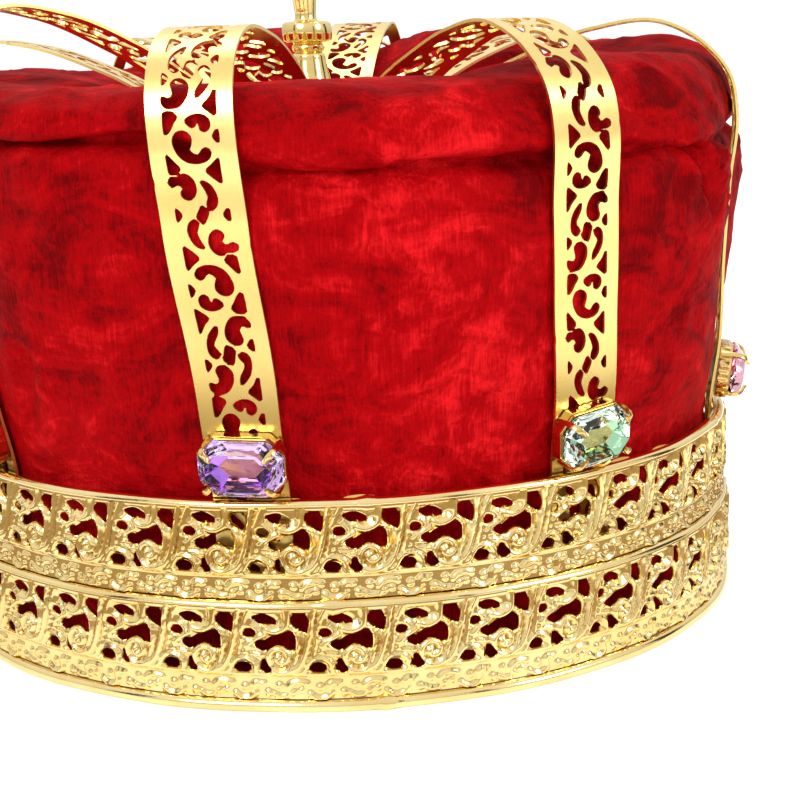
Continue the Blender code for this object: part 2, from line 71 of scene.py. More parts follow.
# The eight arches, in order round the crown from the front towards +X. strip: which of
# the four strips. end: 1 for its near half. crest: share of archCrest. turn: degrees
# that the stone is turned.
archRow = ("name", "strip", "end", "angle", "crest", "turn", "glass")
arches = [dict(zip(archRow, row)) for row in (
    ("a", 3, 1, -11.8, 1.015, -1.0, "violet"),
    ("b", 2, 1, 31.8, 1.015, 6.0, "green"),
    ("c", 1, 1, 78.8, 1.018, 0.0, "pink"),
    ("h", 4, -1, 127.5, 1.010, -2.0, "orange"),
    ("g", 3, -1, 168.2, 1.045, 1.0, "violet"),
    ("f", 2, -1, 211.8, 1.025, -3.0, "green"),
    ("e", 1, -1, 258.8, 1.020, 2.0, "pink"),
    ("d", 4, 1, 307.5, 1.062, -4.0, "orange"),
)]
# How far a strip is bent sideways: distance from the arch's foot and offset, in metres
sways = {
    "a": [(0.0, 0.0016), (0.040, 0.0014), (0.075, -0.0008), (0.112, -0.0015), (0.150, 0.0), (1.0, 0.0)],
    "b": [(0.0, 0.0007), (0.060, 0.0007), (0.090, -0.0004), (0.118, -0.0019), (0.150, 0.0), (1.0, 0.0)],
}
straight = [(0.0, 0.0), (1.0, 0.0)]

# Camera: where it stands, then its aim, in degrees, and its lens
view = {"place": (0.0, -0.392, 0.1266), "yaw": 2.25, "pitch": 11.98, "roll": -1.80, "lens": 70.5}


def standing(name, data, unseenBy=()):
    # an object of the scene; the kinds of ray in unseenBy pass through it
    holder = bpy.data.objects.new(name, data)
    bpy.context.scene.collection.objects.link(holder)
    for kind in unseenBy:
        setattr(holder, "visible_" + kind, False)
    return holder


def aimed(holder, right, above, back, place):
    # a camera or a lamp, turned to three directions of its own
    matrix = np.eye(4)
    matrix[:3] = np.stack([right, above, back, place], -1)
    holder.matrix_world = matrix.T.tolist()


def aimCamera():
    # The camera looks along the aim turned by yaw round Z and down by pitch; roll
    # then turns its own right and up directions.
    yaw, pitch, roll = (math.radians(view[key]) for key in ("yaw", "pitch", "roll"))
    ahead = np.array([math.sin(yaw) * math.cos(pitch), math.cos(yaw) * math.cos(pitch), -math.sin(pitch)])
    right = np.array([math.cos(yaw), -math.sin(yaw), 0.0])
    above = np.cross(right, ahead)
    camera = bpy.data.cameras.new("photoCamera")
    camera.sensor_width = 36.0
    camera.lens = view["lens"]
    camera.clip_start = 0.01
    holder = standing("photoCamera", camera)
    aimed(holder, right * math.cos(roll) + above * math.sin(roll),
          above * math.cos(roll) - right * math.sin(roll), -ahead, view["place"])
    bpy.context.scene.camera = holder


# Shader sums: a Sock is one output of a node, and an expression on Socks adds Math nodes.
class Sock:
    def __init__(self, finish, socket):
        self.finish = finish
        self.socket = socket

    def join(self, operation, first, second):
        return self.finish.node("ShaderNodeMath", {0: first, 1: second}, operation=operation)

    def __add__(self, other):
        return self.join("ADD", self, other)

    def __radd__(self, other):
        return self.join("ADD", other, self)

    def __sub__(self, other):
        return self.join("SUBTRACT", self, other)

    def __mul__(self, other):
        return self.join("MULTIPLY", self, other)

    def clamped(self):
        return self.join("MAXIMUM", self.join("MINIMUM", self, 1.0), 0.0)

    def rise(self, low, high):
        # 0 below low, 1 above high, smooth between
        return self.finish.node("ShaderNodeMapRange", {"Value": self, "From Min": low, "From Max": high},
                                interpolation_type="SMOOTHSTEP")


class Finish:
    # The nodes of one material, or of the world. They all come from node(), and the
    # values of its main shader from set().
    def __init__(self, owner, shader="Principled BSDF", **values):
        owner.use_nodes = True
        self.owner = owner
        self.tree = owner.node_tree
        self.shader = self.tree.nodes[shader]
        self.set(**values)

    def feed(self, socket, value):
        if isinstance(value, Sock):
            self.tree.links.new(value.socket, socket)
        elif hasattr(value, "__len__") and len(value) == 3 and socket.type == "RGBA":
            socket.default_value = (*value, 1.0)
        else:
            socket.default_value = value

    def node(self, kind, values=None, out=0, stops=(), **settings):
        # stops are the places and brightnesses of a colour ramp
        made = self.tree.nodes.new(kind)
        for key, value in settings.items():
            setattr(made, key, value)
        while stops and len(made.color_ramp.elements) < len(stops):
            made.color_ramp.elements.new(0.5)
        for number, (place, bright) in enumerate(stops):
            made.color_ramp.elements[number].position = place
            made.color_ramp.elements[number].color = (bright, bright, bright, 1.0)
        for key, value in (values or {}).items():
            self.feed(made.inputs[key], value)
        return Sock(self, made.outputs[out])

    def set(self, **values):
        for key, value in values.items():
            self.feed(self.shader.inputs[key.replace("_", " ")], value)

    def place(self, scale=(1.0, 1.0, 1.0)):
        where = self.node("ShaderNodeTexCoord", out=3)
        return self.node("ShaderNodeVectorMath", {0: where, 1: scale}, operation="MULTIPLY")

    def noise(self, where, scale, detail=2.0, roughness=0.5, distortion=0.0):
        return self.node("ShaderNodeTexNoise", {
            "Vector": where, "Scale": scale, "Detail": detail,
            "Roughness": roughness, "Distortion": distortion})

    def mix(self, share, first, second):
        return self.node("ShaderNodeMix", {0: share, 6: first, 7: second}, out=2, data_type="RGBA")

    def bump(self, height, distance, under=None):
        values = {"Height": height, "Distance": distance}
        if under is not None:
            values["Normal"] = under
        return self.node("ShaderNodeBump", values)


def material(name, **values):
    return Finish(bpy.data.materials.new(name), **values)


# Shapes: whole arrays of points, put into a mesh in one go
def makePiece(name, points, faceSets, finish, slotName, sharp=None, paintedShade=None):
    # points is (n, 3); each face set is an (m, corners) array of point numbers; sharp is
    # the angle over which an edge is, and without it every face is flat; paintedShade is a
    # value at each point, the share of painted shade in the hollows, which the finish reads.
    mesh = bpy.data.meshes.new(name)
    corners = np.concatenate([faces.reshape(-1) for faces in faceSets]).astype(np.int32)
    totals = np.concatenate([np.full(len(faces), faces.shape[1]) for faces in faceSets])
    starts = np.concatenate([[0], np.cumsum(totals)[:-1]]).astype(np.int32)
    mesh.vertices.add(len(points))
    mesh.vertices.foreach_set("co", np.asarray(points, dtype=np.float32).reshape(-1))
    mesh.loops.add(len(corners))
    mesh.loops.foreach_set("vertex_index", corners)
    mesh.polygons.add(len(totals))
    mesh.polygons.foreach_set("loop_start", starts)
    mesh.polygons.foreach_set("use_smooth", np.full(len(totals), sharp is not None))
    mesh.update(calc_edges=True)
    if sharp is not None:
        mesh.set_sharp_from_angle(angle=math.radians(sharp))
    if paintedShade is not None:
        shade = mesh.attributes.new("paintedShade", "FLOAT", "POINT")
        shade.data.foreach_set("value", np.asarray(paintedShade, dtype=np.float32))
    mesh.materials.append(finish.owner)
    piece = standing(name, mesh)
    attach(piece, "root")
    return piece


def gridFaces(rows, around, roundRows=False, first=0):
    # Quads of rings of points, numbered ring by ring; each ring runs to the right and the
    # rings go up. With roundRows the last ring joins the first.
    row = np.arange(rows if roundRows else rows - 1)[:, None]
    nextRow = (row + 1) % rows
    here = np.arange(around)
    after = np.roll(here, -1)
    corners = [row * around + here, row * around + after, nextRow * around + after, nextRow * around + here]
    return first + np.stack(corners, axis=-1).reshape(-1, 4)


def fan(start, count, hub, flipped=False):
    # triangles that close a ring of count points, numbered from start on, at a hub
    ring = start + np.arange(count)
    sides = [np.roll(ring, -1), ring] if flipped else [ring, np.roll(ring, -1)]
    return np.stack([*sides, np.full(count, hub)], -1)


def closedFaces(rows, around):
    # rings closed at both ends by hubs, which are numbered after the rings' points
    last = rows * around
    return [gridFaces(rows, around), fan(0, around, last, flipped=True), fan(last - around, around, last + 1)]


def polar(radius, angle, height, leaning=True):
    # radius and height at an angle in radians from the front towards +X, with the lean
    x = radius * np.sin(angle)
    y = -radius * np.cos(angle)
    if leaning:
        x = x - crown["lean"] * np.maximum(0.0, height - bandTop)
    return np.stack(np.broadcast_arrays(x, y, height), axis=-1)


def roundTurn(count):
    # count angles spread evenly over a full turn
    return np.arange(count) * 2 * math.pi / count


def turnFrom(start, degrees):
    # degrees counted from start, between -180 and 180
    return (degrees - start + 180) % 360 - 180


def ease(share):
    # 0 to 1 as share goes, with a soft start and end
    return share * share * (3 - 2 * share)


def between(value, start, length):
    # how far value is on the way from start over length, from 0 to 1
    return np.clip((value - start) / length, 0, 1)


def normed(ways):
    # the same directions with length 1
    return ways / np.maximum(np.linalg.norm(ways, axis=-1, keepdims=True), 1e-9)


def cubic(t, first, firstSlope, second, secondSlope):
    # from first to second as t goes from 0 to 1, with a slope over t at each end
    return ((2 * t**3 - 3 * t**2 + 1) * first + (t**3 - 2 * t**2 + t) * firstSlope
            + (3 * t**2 - 2 * t**3) * second + (t**3 - t**2) * secondSlope)


def chordSlopes(rows, steps):
    # the slope at each row is that of the chords beside it, weighted by their lengths
    slopes = np.diff(rows, axis=0) / steps
    inner = (slopes[:-1] * steps[1:] + slopes[1:] * steps[:-1]) / (steps[1:] + steps[:-1])
    return np.concatenate([slopes[:1], inner, slopes[-1:]])


def smoothAt(rows, marks):
    # a smooth curve through rows (n, k), read at marks, distances along its chords
    rows = np.asarray(rows, dtype=float)
    steps = np.linalg.norm(np.diff(rows, axis=0), axis=1, keepdims=True)
    chord = np.concatenate([[0.0], np.cumsum(steps)])
    slopes = chordSlopes(rows, steps)
    span = np.clip(np.searchsorted(chord, marks, side="right") - 1, 0, len(steps) - 1)
    length = steps[span]
    t = (np.asarray(marks) - chord[span])[:, None] / length
    return cubic(t, rows[span], length * slopes[span], rows[span + 1], length * slopes[span + 1])


def smoothSpans(rows, perSpan):
    # the same curve down each column of rows (n, many, 2), with perSpan points to a span
    steps = np.maximum(np.linalg.norm(np.diff(rows, axis=0), axis=-1, keepdims=True), 1e-6)
    slopes = chordSlopes(rows, steps)
    t = (np.arange(perSpan) / perSpan)[:, None, None]
    spans = cubic(t, rows[:-1, None], (steps * slopes[:-1])[:, None],
                  rows[1:, None], (steps * slopes[1:])[:, None])
    return np.concatenate([spans.reshape(-1, *rows.shape[1:]), rows[-1:]])


def chordLength(rows):
    return float(np.linalg.norm(np.diff(np.asarray(rows, dtype=float), axis=0), axis=1).sum())


def smoothRing(rows, count):
    # a closed smooth outline through rows, as count points
    rows = np.asarray(rows, dtype=float)
    wrapped = np.concatenate([rows[-2:], rows, rows[:3]])
    lead = chordLength(wrapped[:3])
    around = chordLength(wrapped[2:-2])
    return smoothAt(wrapped, lead + around * np.arange(count) / count)


def ripple(points, size, seed, waves=14):
    # Smooth unrepeating waves about -1 to 1: a sum of sines in random directions
    draw = np.random.default_rng(seed)
    ways = normed(draw.normal(size=(waves, 3)))
    rates = 2 * math.pi / size * draw.uniform(0.6, 1.6, waves)
    phases = draw.uniform(0, 2 * math.pi, waves)
    return np.sin(points @ (ways * rates[:, None]).T + phases).sum(axis=-1) * 1.4 / math.sqrt(waves)


aimCamera()
print("crown: camera set")


# Finishes
def goldFinish(name, colour, deep, roughness, grain, pits, paintedShade=None):
    # Plated brass: the tone drifts a little, the polish is uneven and faintly rippled.
    # paintedShade is painted shade: the colour of a darker tone laid into the hollows between raised lines,
    # for the shade that falls there.
    made = material(name, Metallic=1.0)
    where = made.place()
    drift = made.noise(where, 60.0, 3.0)
    tone = made.mix(drift.rise(0.3, 0.75), deep, colour)
    wear = made.noise(where, 240.0, 3.0, 0.6)
    polish = roughness + (wear - 0.5) * grain
    # painted shade: the hollows darken the colour towards the paintedShade colour and roughen a little
    if paintedShade is not None:
        shadeInHollow = made.node("ShaderNodeAttribute", out=2, attribute_name="paintedShade")
        tone = made.mix(shadeInHollow.clamped(), tone, paintedShade)
        polish = polish + shadeInHollow * 0.12
    made.set(Base_Color=tone, Roughness=polish, Normal=made.bump(made.noise(where, 420.0, 2.0), pits))
    return made


# colour, deeper colour, roughness, how far it varies, height of the ripples, colour of the painted shade in
# the hollows
golds = {name: goldFinish(name + "Gold", *row) for name, row in {
    "band": ((0.95, 0.76, 0.36), (0.88, 0.65, 0.25), 0.15, 0.08, 0.00003, (0.60, 0.39, 0.11)),
    "hoop": ((0.95, 0.77, 0.38), (0.86, 0.64, 0.27), 0.13, 0.08, 0.00003),
    "strip": ((0.93, 0.73, 0.28), (0.88, 0.66, 0.22), 0.28, 0.05, 0.00001),
    "cup": ((0.84, 0.61, 0.25), (0.74, 0.48, 0.17), 0.16, 0.10, 0.00003),
    "finial": ((0.90, 0.70, 0.29), (0.80, 0.57, 0.20), 0.12, 0.08, 0.00003),
}.items()}
velvet = {
    "deep": (0.115, 0.0002, 0.0010),
    "mid": (0.310, 0.0006, 0.0020),
    "bright": (0.640, 0.0090, 0.0120),
}


def velvetFinish():
    # Crushed pile: patches whose pile lies another way are brighter or darker, with
    # soft edges; fine ribs of the knit run up the wall.
    made = material("crushedVelvet", Roughness=0.62, Sheen_Weight=0.03, Sheen_Roughness=0.35,
                    Sheen_Tint=(1.0, 0.03, 0.02), Specular_IOR_Level=0.02)
    crush = made.noise(made.place((1.0, 1.0, 1.35)), 46.0, 6.0, 0.62, 1.7)
    broad = made.noise(made.place(), 15.0, 2.0, 0.5, 0.5)
    small = made.noise(made.place((1.0, 1.0, 1.8)), 170.0, 4.0, 0.6, 0.9)
    ribs = made.noise(made.place((2100.0, 2100.0, 130.0)), 1.0, 2.0, 0.6)
    tone = 0.5 + (crush - 0.5) * 1.8 + (broad - 0.5) * 1.3 + (small - 0.5) * 0.7 + (ribs - 0.5) * 0.7
    dark = made.mix(tone.rise(0.0, 0.62), velvet["deep"], velvet["mid"])
    soft = made.bump(small, 0.0006, made.bump(crush, 0.0014))
    made.set(Base_Color=made.mix(tone.rise(0.55, 1.15), dark, velvet["bright"]),
             Normal=made.bump(ribs, 0.00012, soft))
    return made


# colour of each glass, and of the foil behind it
stoneColours = {
    "violet": ((0.74, 0.50, 0.98), (0.93, 0.85, 0.99)),
    "green": ((0.76, 0.92, 0.80), (0.72, 0.90, 0.76)),
    "pink": ((0.96, 0.52, 0.64), (0.95, 0.58, 0.68)),
    "orange": ((0.97, 0.20, 0.04), (0.95, 0.22, 0.06)),
}
glasses = {name: material(name + "Glass", Base_Color=colours[0], Roughness=0.01, Transmission_Weight=1.0,
                          IOR=1.56) for name, colours in stoneColours.items()}
foils = {name: material(name + "Foil", Base_Color=colours[1], Metallic=1.0, Roughness=0.05)
         for name, colours in stoneColours.items()}
velvetCloth = velvetFinish()
print("crown: finishes made")


# Pierced sheets. A chart gives, over one repeat, how far each place is inside the metal
# (below 0 in a gap) and how far the metal is raised there.
def grid(us, vs):
    return np.meshgrid(us, vs, indexing="ij")


def distanceToLine(points, line, closed):
    # shortest distance from each point (n, 2) to the joined line (m, 2)
    start = line if closed else line[:-1]
    end = np.roll(line, -1, axis=0) if closed else line[1:]
    way = end - start
    reach = points[:, None, :] - start[None]
    share = np.clip((reach * way).sum(-1) / np.maximum((way * way).sum(-1), 1e-12), 0, 1)
    return np.linalg.norm(reach - share[..., None] * way, axis=-1).min(axis=1)


def insideOutline(points, outline):
    # odd number of crossings of a ray to the right
    start = outline
    end = np.roll(outline, -1, axis=0)
    x, y = points[:, 0:1], points[:, 1:2]
    spans = (start[:, 1] > y) != (end[:, 1] > y)
    rise = np.where(end[:, 1] == start[:, 1], 1e-9, end[:, 1] - start[:, 1])
    crossing = start[:, 0] + (y - start[:, 1]) / rise * (end[:, 0] - start[:, 0])
    return (spans & (x < crossing)).sum(axis=1) % 2 == 1


def metalDistance(points, outlines):
    # above 0 in the metal, below 0 inside a gap: distance to the nearest gap's edge
    nearest = np.full(len(points), 1e3)
    inside = np.zeros(len(points), dtype=bool)
    for outline in outlines:
        nearest = np.minimum(nearest, distanceToLine(points, outline, True))
        inside |= insideOutline(points, outline)
    return np.where(inside, -nearest, nearest)


def readChart(chart, low, step, u, v):
    # value of a chart between its points, read by both neighbours each way
    column = np.clip((u - low[0]) / step, 0, chart.shape[0] - 1.001)
    row = np.clip((v - low[1]) / step, 0, chart.shape[1] - 1.001)
    i, j = column.astype(int), row.astype(int)
    a, b = column - i, row - j
    return (chart[i, j] * (1 - a) * (1 - b) + chart[i + 1, j] * a * (1 - b)
            + chart[i, j + 1] * (1 - a) * b + chart[i + 1, j + 1] * a * b)


# The polygon that is metal in one square of the grid, for each pattern of its corners
# (1, 2, 4 and 8 add up, from the lower left round to the right). 0 to 3 are corners,
# 4 to 7 the places where its edges are crossed: lower, right, upper, left.
squares = {
    1: [0, 4, 7], 2: [1, 5, 4], 3: [0, 1, 5, 7], 4: [2, 6, 5], 5: [0, 4, 5, 2, 6, 7],
    6: [1, 2, 6, 4], 7: [0, 1, 2, 6, 7], 8: [3, 7, 6], 9: [0, 4, 6, 3],
    10: [1, 5, 6, 3, 7, 4], 11: [0, 1, 5, 6, 3], 12: [2, 3, 7, 5],
    13: [0, 4, 5, 2, 3], 14: [1, 2, 3, 7, 4], 15: [0, 1, 2, 3],
}


def piercedSheet(metal, us, vs, lay):
    # metal is read on the grid us by vs; where it is above 0 there is sheet. Its edge is
    # drawn where metal crosses 0 between grid points. lay(u, v, side) gives the points
    # of the front (side 1) and the back (side 0); a wall joins them along every edge.
    u, v = grid(us, vs)
    solid = metal > 0

    def crossing(first, second):
        span = first - second
        share = first / np.where(np.abs(span) < 1e-12, 1e-12, span)
        return np.clip(share, 0.1, 0.9)

    along = crossing(metal[:-1], metal[1:])
    rising = crossing(metal[:, :-1], metal[:, 1:])
    places = np.concatenate([
        np.stack([u, v], -1).reshape(-1, 2),
        np.stack([u[:-1] + along * (u[1:] - u[:-1]), v[:-1]], -1).reshape(-1, 2),
        np.stack([u[:, :-1], v[:, :-1] + rising * (v[:, 1:] - v[:, :-1])], -1).reshape(-1, 2)])
    node = np.arange(u.size).reshape(u.shape)
    edgeAlong = u.size + np.arange(along.size).reshape(along.shape)
    edgeRising = u.size + along.size + np.arange(rising.size).reshape(rising.shape)
    tokens = np.stack([node[:-1, :-1], node[1:, :-1], node[1:, 1:], node[:-1, 1:],
                       edgeAlong[:, :-1], edgeRising[1:], edgeAlong[:, 1:], edgeRising[:-1]], -1)
    pattern = solid[:-1, :-1] * 1 + solid[1:, :-1] * 2 + solid[1:, 1:] * 4 + solid[:-1, 1:] * 8
    sets = {}
    rims = []
    for number, polygon in squares.items():
        cells = tokens[pattern == number]
        sets.setdefault(len(polygon), []).append(cells[:, polygon])
        for start, end in zip(polygon, polygon[1:] + polygon[:1]):
            if start > 3 and end > 3:
                rims.append(cells[:, [start, end]])
    fronts = [np.concatenate(group) for group in sets.values()]
    used = np.unique(np.concatenate([faces.reshape(-1) for faces in fronts]))
    count = len(used)
    renumber = np.full(len(places), -1)
    renumber[used] = np.arange(count)
    fronts = [renumber[faces] for faces in fronts]
    rims = renumber[np.concatenate(rims)]
    backs = [faces[:, ::-1] + count for faces in fronts]
    walls = np.stack([rims[:, 1], rims[:, 0], rims[:, 0] + count, rims[:, 1] + count], -1)
    at = places[used]
    points = np.concatenate([lay(at[:, 0], at[:, 1], side) for side in (1, 0)])
    return points, fronts + backs + [walls], at


# Head band filigree, charted in chart units of 1/34 mm about the volute's
# centre, across and up. repeats and pitch close the ring.
filigree = {
    "pitch": 523.0, "unit": 0.001 / 34, "foot": -306.0, "top": 340.0, "sheet": 0.0006,
    "cell": {"Front": 13.4, "Back": 16.6},      # grid step of each half
    "chartStep": 3.0, "chartRoom": (30, 90),    # step of the charts, and how far they pass the metal
    "shift": {"Lower": 0.764, "Upper": 0.526},  # where the repeats start, in repeats
    "seam": 62.0, "seamShare": 0.31,    # where the halves meet: degrees, and share of a repeat
    "footRoom": 0.0003,                 # from a hoop to the metal above it
    "wave": 0.00018,                    # how uneven the wall is
    "gaps": [
        [(-190, 280), (-155, 300), (-95, 305), (-50, 285), (-20, 260), (-25, 240), (-60, 233), (-90, 245),
         (-125, 230), (-165, 250)],
        [(85, 285), (105, 312), (180, 312), (197, 265), (197, 215), (185, 175), (155, 180), (125, 210),
         (90, 240)],
        [(-180, 85), (-165, 105), (-105, 120), (-65, 145), (-15, 150), (35, 175), (75, 180), (105, 155),
         (110, 105), (100, 60), (75, 50), (50, 70), (15, 90), (-15, 93), (-55, 75), (-85, 55), (-115, 45),
         (-150, 60)],
        [(-255, 168), (-243, 190), (-213, 197), (-183, 188), (-171, 166), (-185, 147), (-213, 140),
         (-242, 147)],
        [(-327, -90), (-320, -65), (-290, -45), (-245, -43), (-215, -60), (-207, -85), (-225, -105),
         (-285, -107), (-315, -103)],
        [(-137, -25), (-110, -17), (-85, -45), (-60, -85), (-70, -107), (-120, -107), (-140, -90),
         (-137, -50)],
    ],
    # ridges: height in metres, half width, then the places of the line
    "ridges": [
        [0.00105, 33, (52, 345), (56, 262), (34, 212), (-12, 190), (-60, 190), (-88, 204)],
        [0.00070, 20, (-112, 160), (-150, 138), (-195, 112), (-238, 82)],
        [0.00085, 22, (-352, -85), (-335, -38), (-290, -12), (-238, -8), (-192, -26), (-171, -60),
         (-168, -105)],
        [0.00055, 18, (-262, 34), (-200, 26), (-125, 10)],
        [0.00060, 18, (-275, 2), (-225, 66), (-150, 62), (-118, 42)],
        [0.00050, 17, (-150, 160), (-163, 128), (-213, 120), (-262, 140), (-272, 172), (-255, 205),
         (-213, 218), (-170, 205), (-152, 176)],
        [0.00095, 22, (56, -92), (98, -24), (118, 50), (124, 110), (118, 158), (101, 198), (84, 214)],
        [0.00100, 25, (56, -108), (118, -70), (158, -6), (183, 62), (200, 130), (213, 190), (224, 262),
         (244, 345)],
        [0.00085, 22, (140, -110), (190, -58), (220, 4), (240, 70), (252, 136), (262, 200), (286, 280),
         (316, 345)],
        [0.00055, 16, (298, 215), (320, 262), (334, 345)],
        [0.00065, 16, (-262, -122), (0, -122), (262, -122)],
        [0.00060, 19, (44, -222), (70, -192), (104, -180), (142, -182), (176, -196)],
        [0.00065, 20, (196, -268), (228, -294), (268, -304), (308, -292), (344, -264)],
        [0.00050, 16, (-180, -184), (-150, -196), (-122, -194)],
        [0.00050, 16, (-52, -262), (-10, -288), (34, -282)],
    ],
    "volute": {"height": 0.00110, "halfWidth": 27, "inner": 14, "outer": 84, "turns": 1.15, "start": 200,
               "tail": [(-72, -66), (-22, -106), (42, -104), (96, -78)], "tailLength": 225},
    "dots": [(0, 205, 44), (265, -222, 25), (330, -206, 23), (76, -256, 24), (138, -240, 23),
             (426, -256, 22), (-92, -262, 23), (-192, -240, 21), (-16, -208, 23)],
    "dotHeight": 0.00058,
    "edgeRound": 0.00030,       # how much lower the metal is at its edges
    "edgeWidth": 10.0,          # over what distance that fades
    "softening": 5,             # how often the relief is evened out
    # painted shade in the hollows: the depth at which it is full, the evening out that finds a hollow, and
    # its softening
    "paintedShadeDepth": 0.00026,     # a hollow this deep is fully dark
    "paintedShadeReach": 16,          # evening out that tells a hollow from what is round it
    "paintedShadeSoftening": 3,
}


def voluteLine():
    # A spiral whose radius grows with its turn to the power 0.9, then a tail under it
    volute = filigree["volute"]
    turn = np.linspace(0, 1, 60)
    radius = volute["inner"] + (volute["outer"] - volute["inner"]) * turn ** 0.9
    angle = math.radians(volute["start"]) - 2 * math.pi * volute["turns"] * (1 - turn)
    spiral = np.stack([radius * np.cos(angle), radius * np.sin(angle)], -1)
    tail = smoothAt([spiral[-1], *volute["tail"]], np.linspace(0, volute["tailLength"], 24))
    return np.concatenate([spiral, tail[1:]])


def evenOut(values, times):
    # The mean of the neighbours, over and over; the first and last columns are the same
    # place of the repeat.
    for _ in range(times):
        sides = np.concatenate([values[-2:-1], values, values[1:2]])
        values = (sides[:-2] + sides[2:] + 2 * values) / 4
        values[:, 1:-1] = (values[:, :-2] + values[:, 2:] + 2 * values[:, 1:-1]) / 4
    return values


def filigreeCharts():
    # Metal distance and relief over one repeat, with the neighbours' lines counted in.
    # A ridge's section is (1 - share of its half width squared) to the power 3/4, a dot
    # is half a ball, and the metal falls off towards its edges.
    pitch = filigree["pitch"]
    step = pitch / round(pitch / filigree["chartStep"])
    across = np.arange(round(pitch / step) + 1) * step - pitch / 2
    below, above = filigree["chartRoom"]
    upward = np.arange(filigree["foot"] - below, filigree["top"] + above, step)
    u, v = grid(across, upward)
    points = np.stack([u.reshape(-1), v.reshape(-1)], -1)
    repeats = [(shift * pitch, 0) for shift in (-1, 0, 1)]
    rings = [smoothRing(rows, 44) for rows in filigree["gaps"]]
    metal = metalDistance(points, [ring + repeat for ring in rings for repeat in repeats])
    lines = [(filigree["volute"]["height"], filigree["volute"]["halfWidth"], voluteLine())]
    for height, halfWidth, *rows in filigree["ridges"]:
        lines.append((height, halfWidth, smoothAt(rows, np.linspace(0, chordLength(rows), 26))))
    relief = np.zeros(len(points))
    for repeat in repeats:
        for height, halfWidth, line in lines:
            away = distanceToLine(points, line + repeat, False) / halfWidth
            relief = np.maximum(relief, height * np.maximum(0, 1 - away ** 2) ** 0.75)
        for x, y, size in filigree["dots"]:
            away = np.linalg.norm(points - (x, y) - repeat, axis=1) / size
            relief = np.maximum(relief, filigree["dotHeight"] * np.sqrt(np.maximum(0, 1 - away ** 2)))
    relief -= filigree["edgeRound"] * np.exp(-np.maximum(metal, 0) / filigree["edgeWidth"])
    relief = evenOut(relief.reshape(u.shape), filigree["softening"])
    # painted shade: how far each place lies below the evened-out relief round it
    shadeInHollow = (evenOut(relief, filigree["paintedShadeReach"]) - relief) / filigree["paintedShadeDepth"]
    paintedShade = evenOut(np.clip(shadeInHollow, 0, 1), filigree["paintedShadeSoftening"])
    return metal.reshape(u.shape), relief, paintedShade, upward[0], step


def makeFiligree():
    # Two tiers, each in a front and a back half that meet at a seam on the right
    metalChart, reliefChart, paintedShadeChart, low, step = filigreeCharts()
    pitch, foot, repeats = filigree["pitch"], filigree["foot"], crown["repeats"]

    def chartAt(chart, u, v):
        return readChart(chart, (0.0, low), step, (u + pitch / 2) % pitch, v)

    for tier, name in enumerate(("Lower", "Upper")):
        radius = (hoopRadii[tier] + hoopRadii[tier + 1]) / 2
        base = hoopLevels[tier] + crown["hoopRoom"] + filigree["footRoom"] - foot * filigree["unit"]
        shift = filigree["shift"][name]

        def lay(u, v, front):
            # a round wall: angle along it, raised outwards by the relief, with slow waves
            turn = (u - shift * pitch) / pitch * 2 * math.pi / repeats
            angle = math.radians(filigree["seam"]) + turn
            wave = filigree["wave"] * np.sin(angle * 23 + 1.3 * tier) * np.sin(angle * 9.0)
            out = radius + chartAt(reliefChart, u, v) + wave + (front - 0.5) * filigree["sheet"]
            return polar(out, angle, base + v * filigree["unit"], False)

        for half, side in enumerate(("Back", "Front")):
            cell = filigree["cell"][side]
            count = repeats // 2
            first = (shift - 0.5 + half * count + filigree["seamShare"]) * pitch
            last = first + count * pitch
            us = np.linspace(first - cell, last + cell, round(count * pitch / cell) + 3)
            vs = np.arange(foot - cell, filigree["top"] + 2 * cell, cell)
            u, v = grid(us, vs)
            metal = chartAt(metalChart, u, v)
            for edge in (u - first, last - u, v - foot, filigree["top"] - v):
                metal = np.minimum(metal, edge)
            points, faces, at = piercedSheet(metal, us, vs, lay)
            # painted shade of the hollows at each point, front and back alike
            paintedShade = np.tile(chartAt(paintedShadeChart, at[:, 0], at[:, 1]), 2)
            piece = makePiece("filigree" + name + side, points, faces, golds["band"], "filigree", 58, paintedShade)
            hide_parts("filigree_" + name.lower())
    print("crown: filigree made")


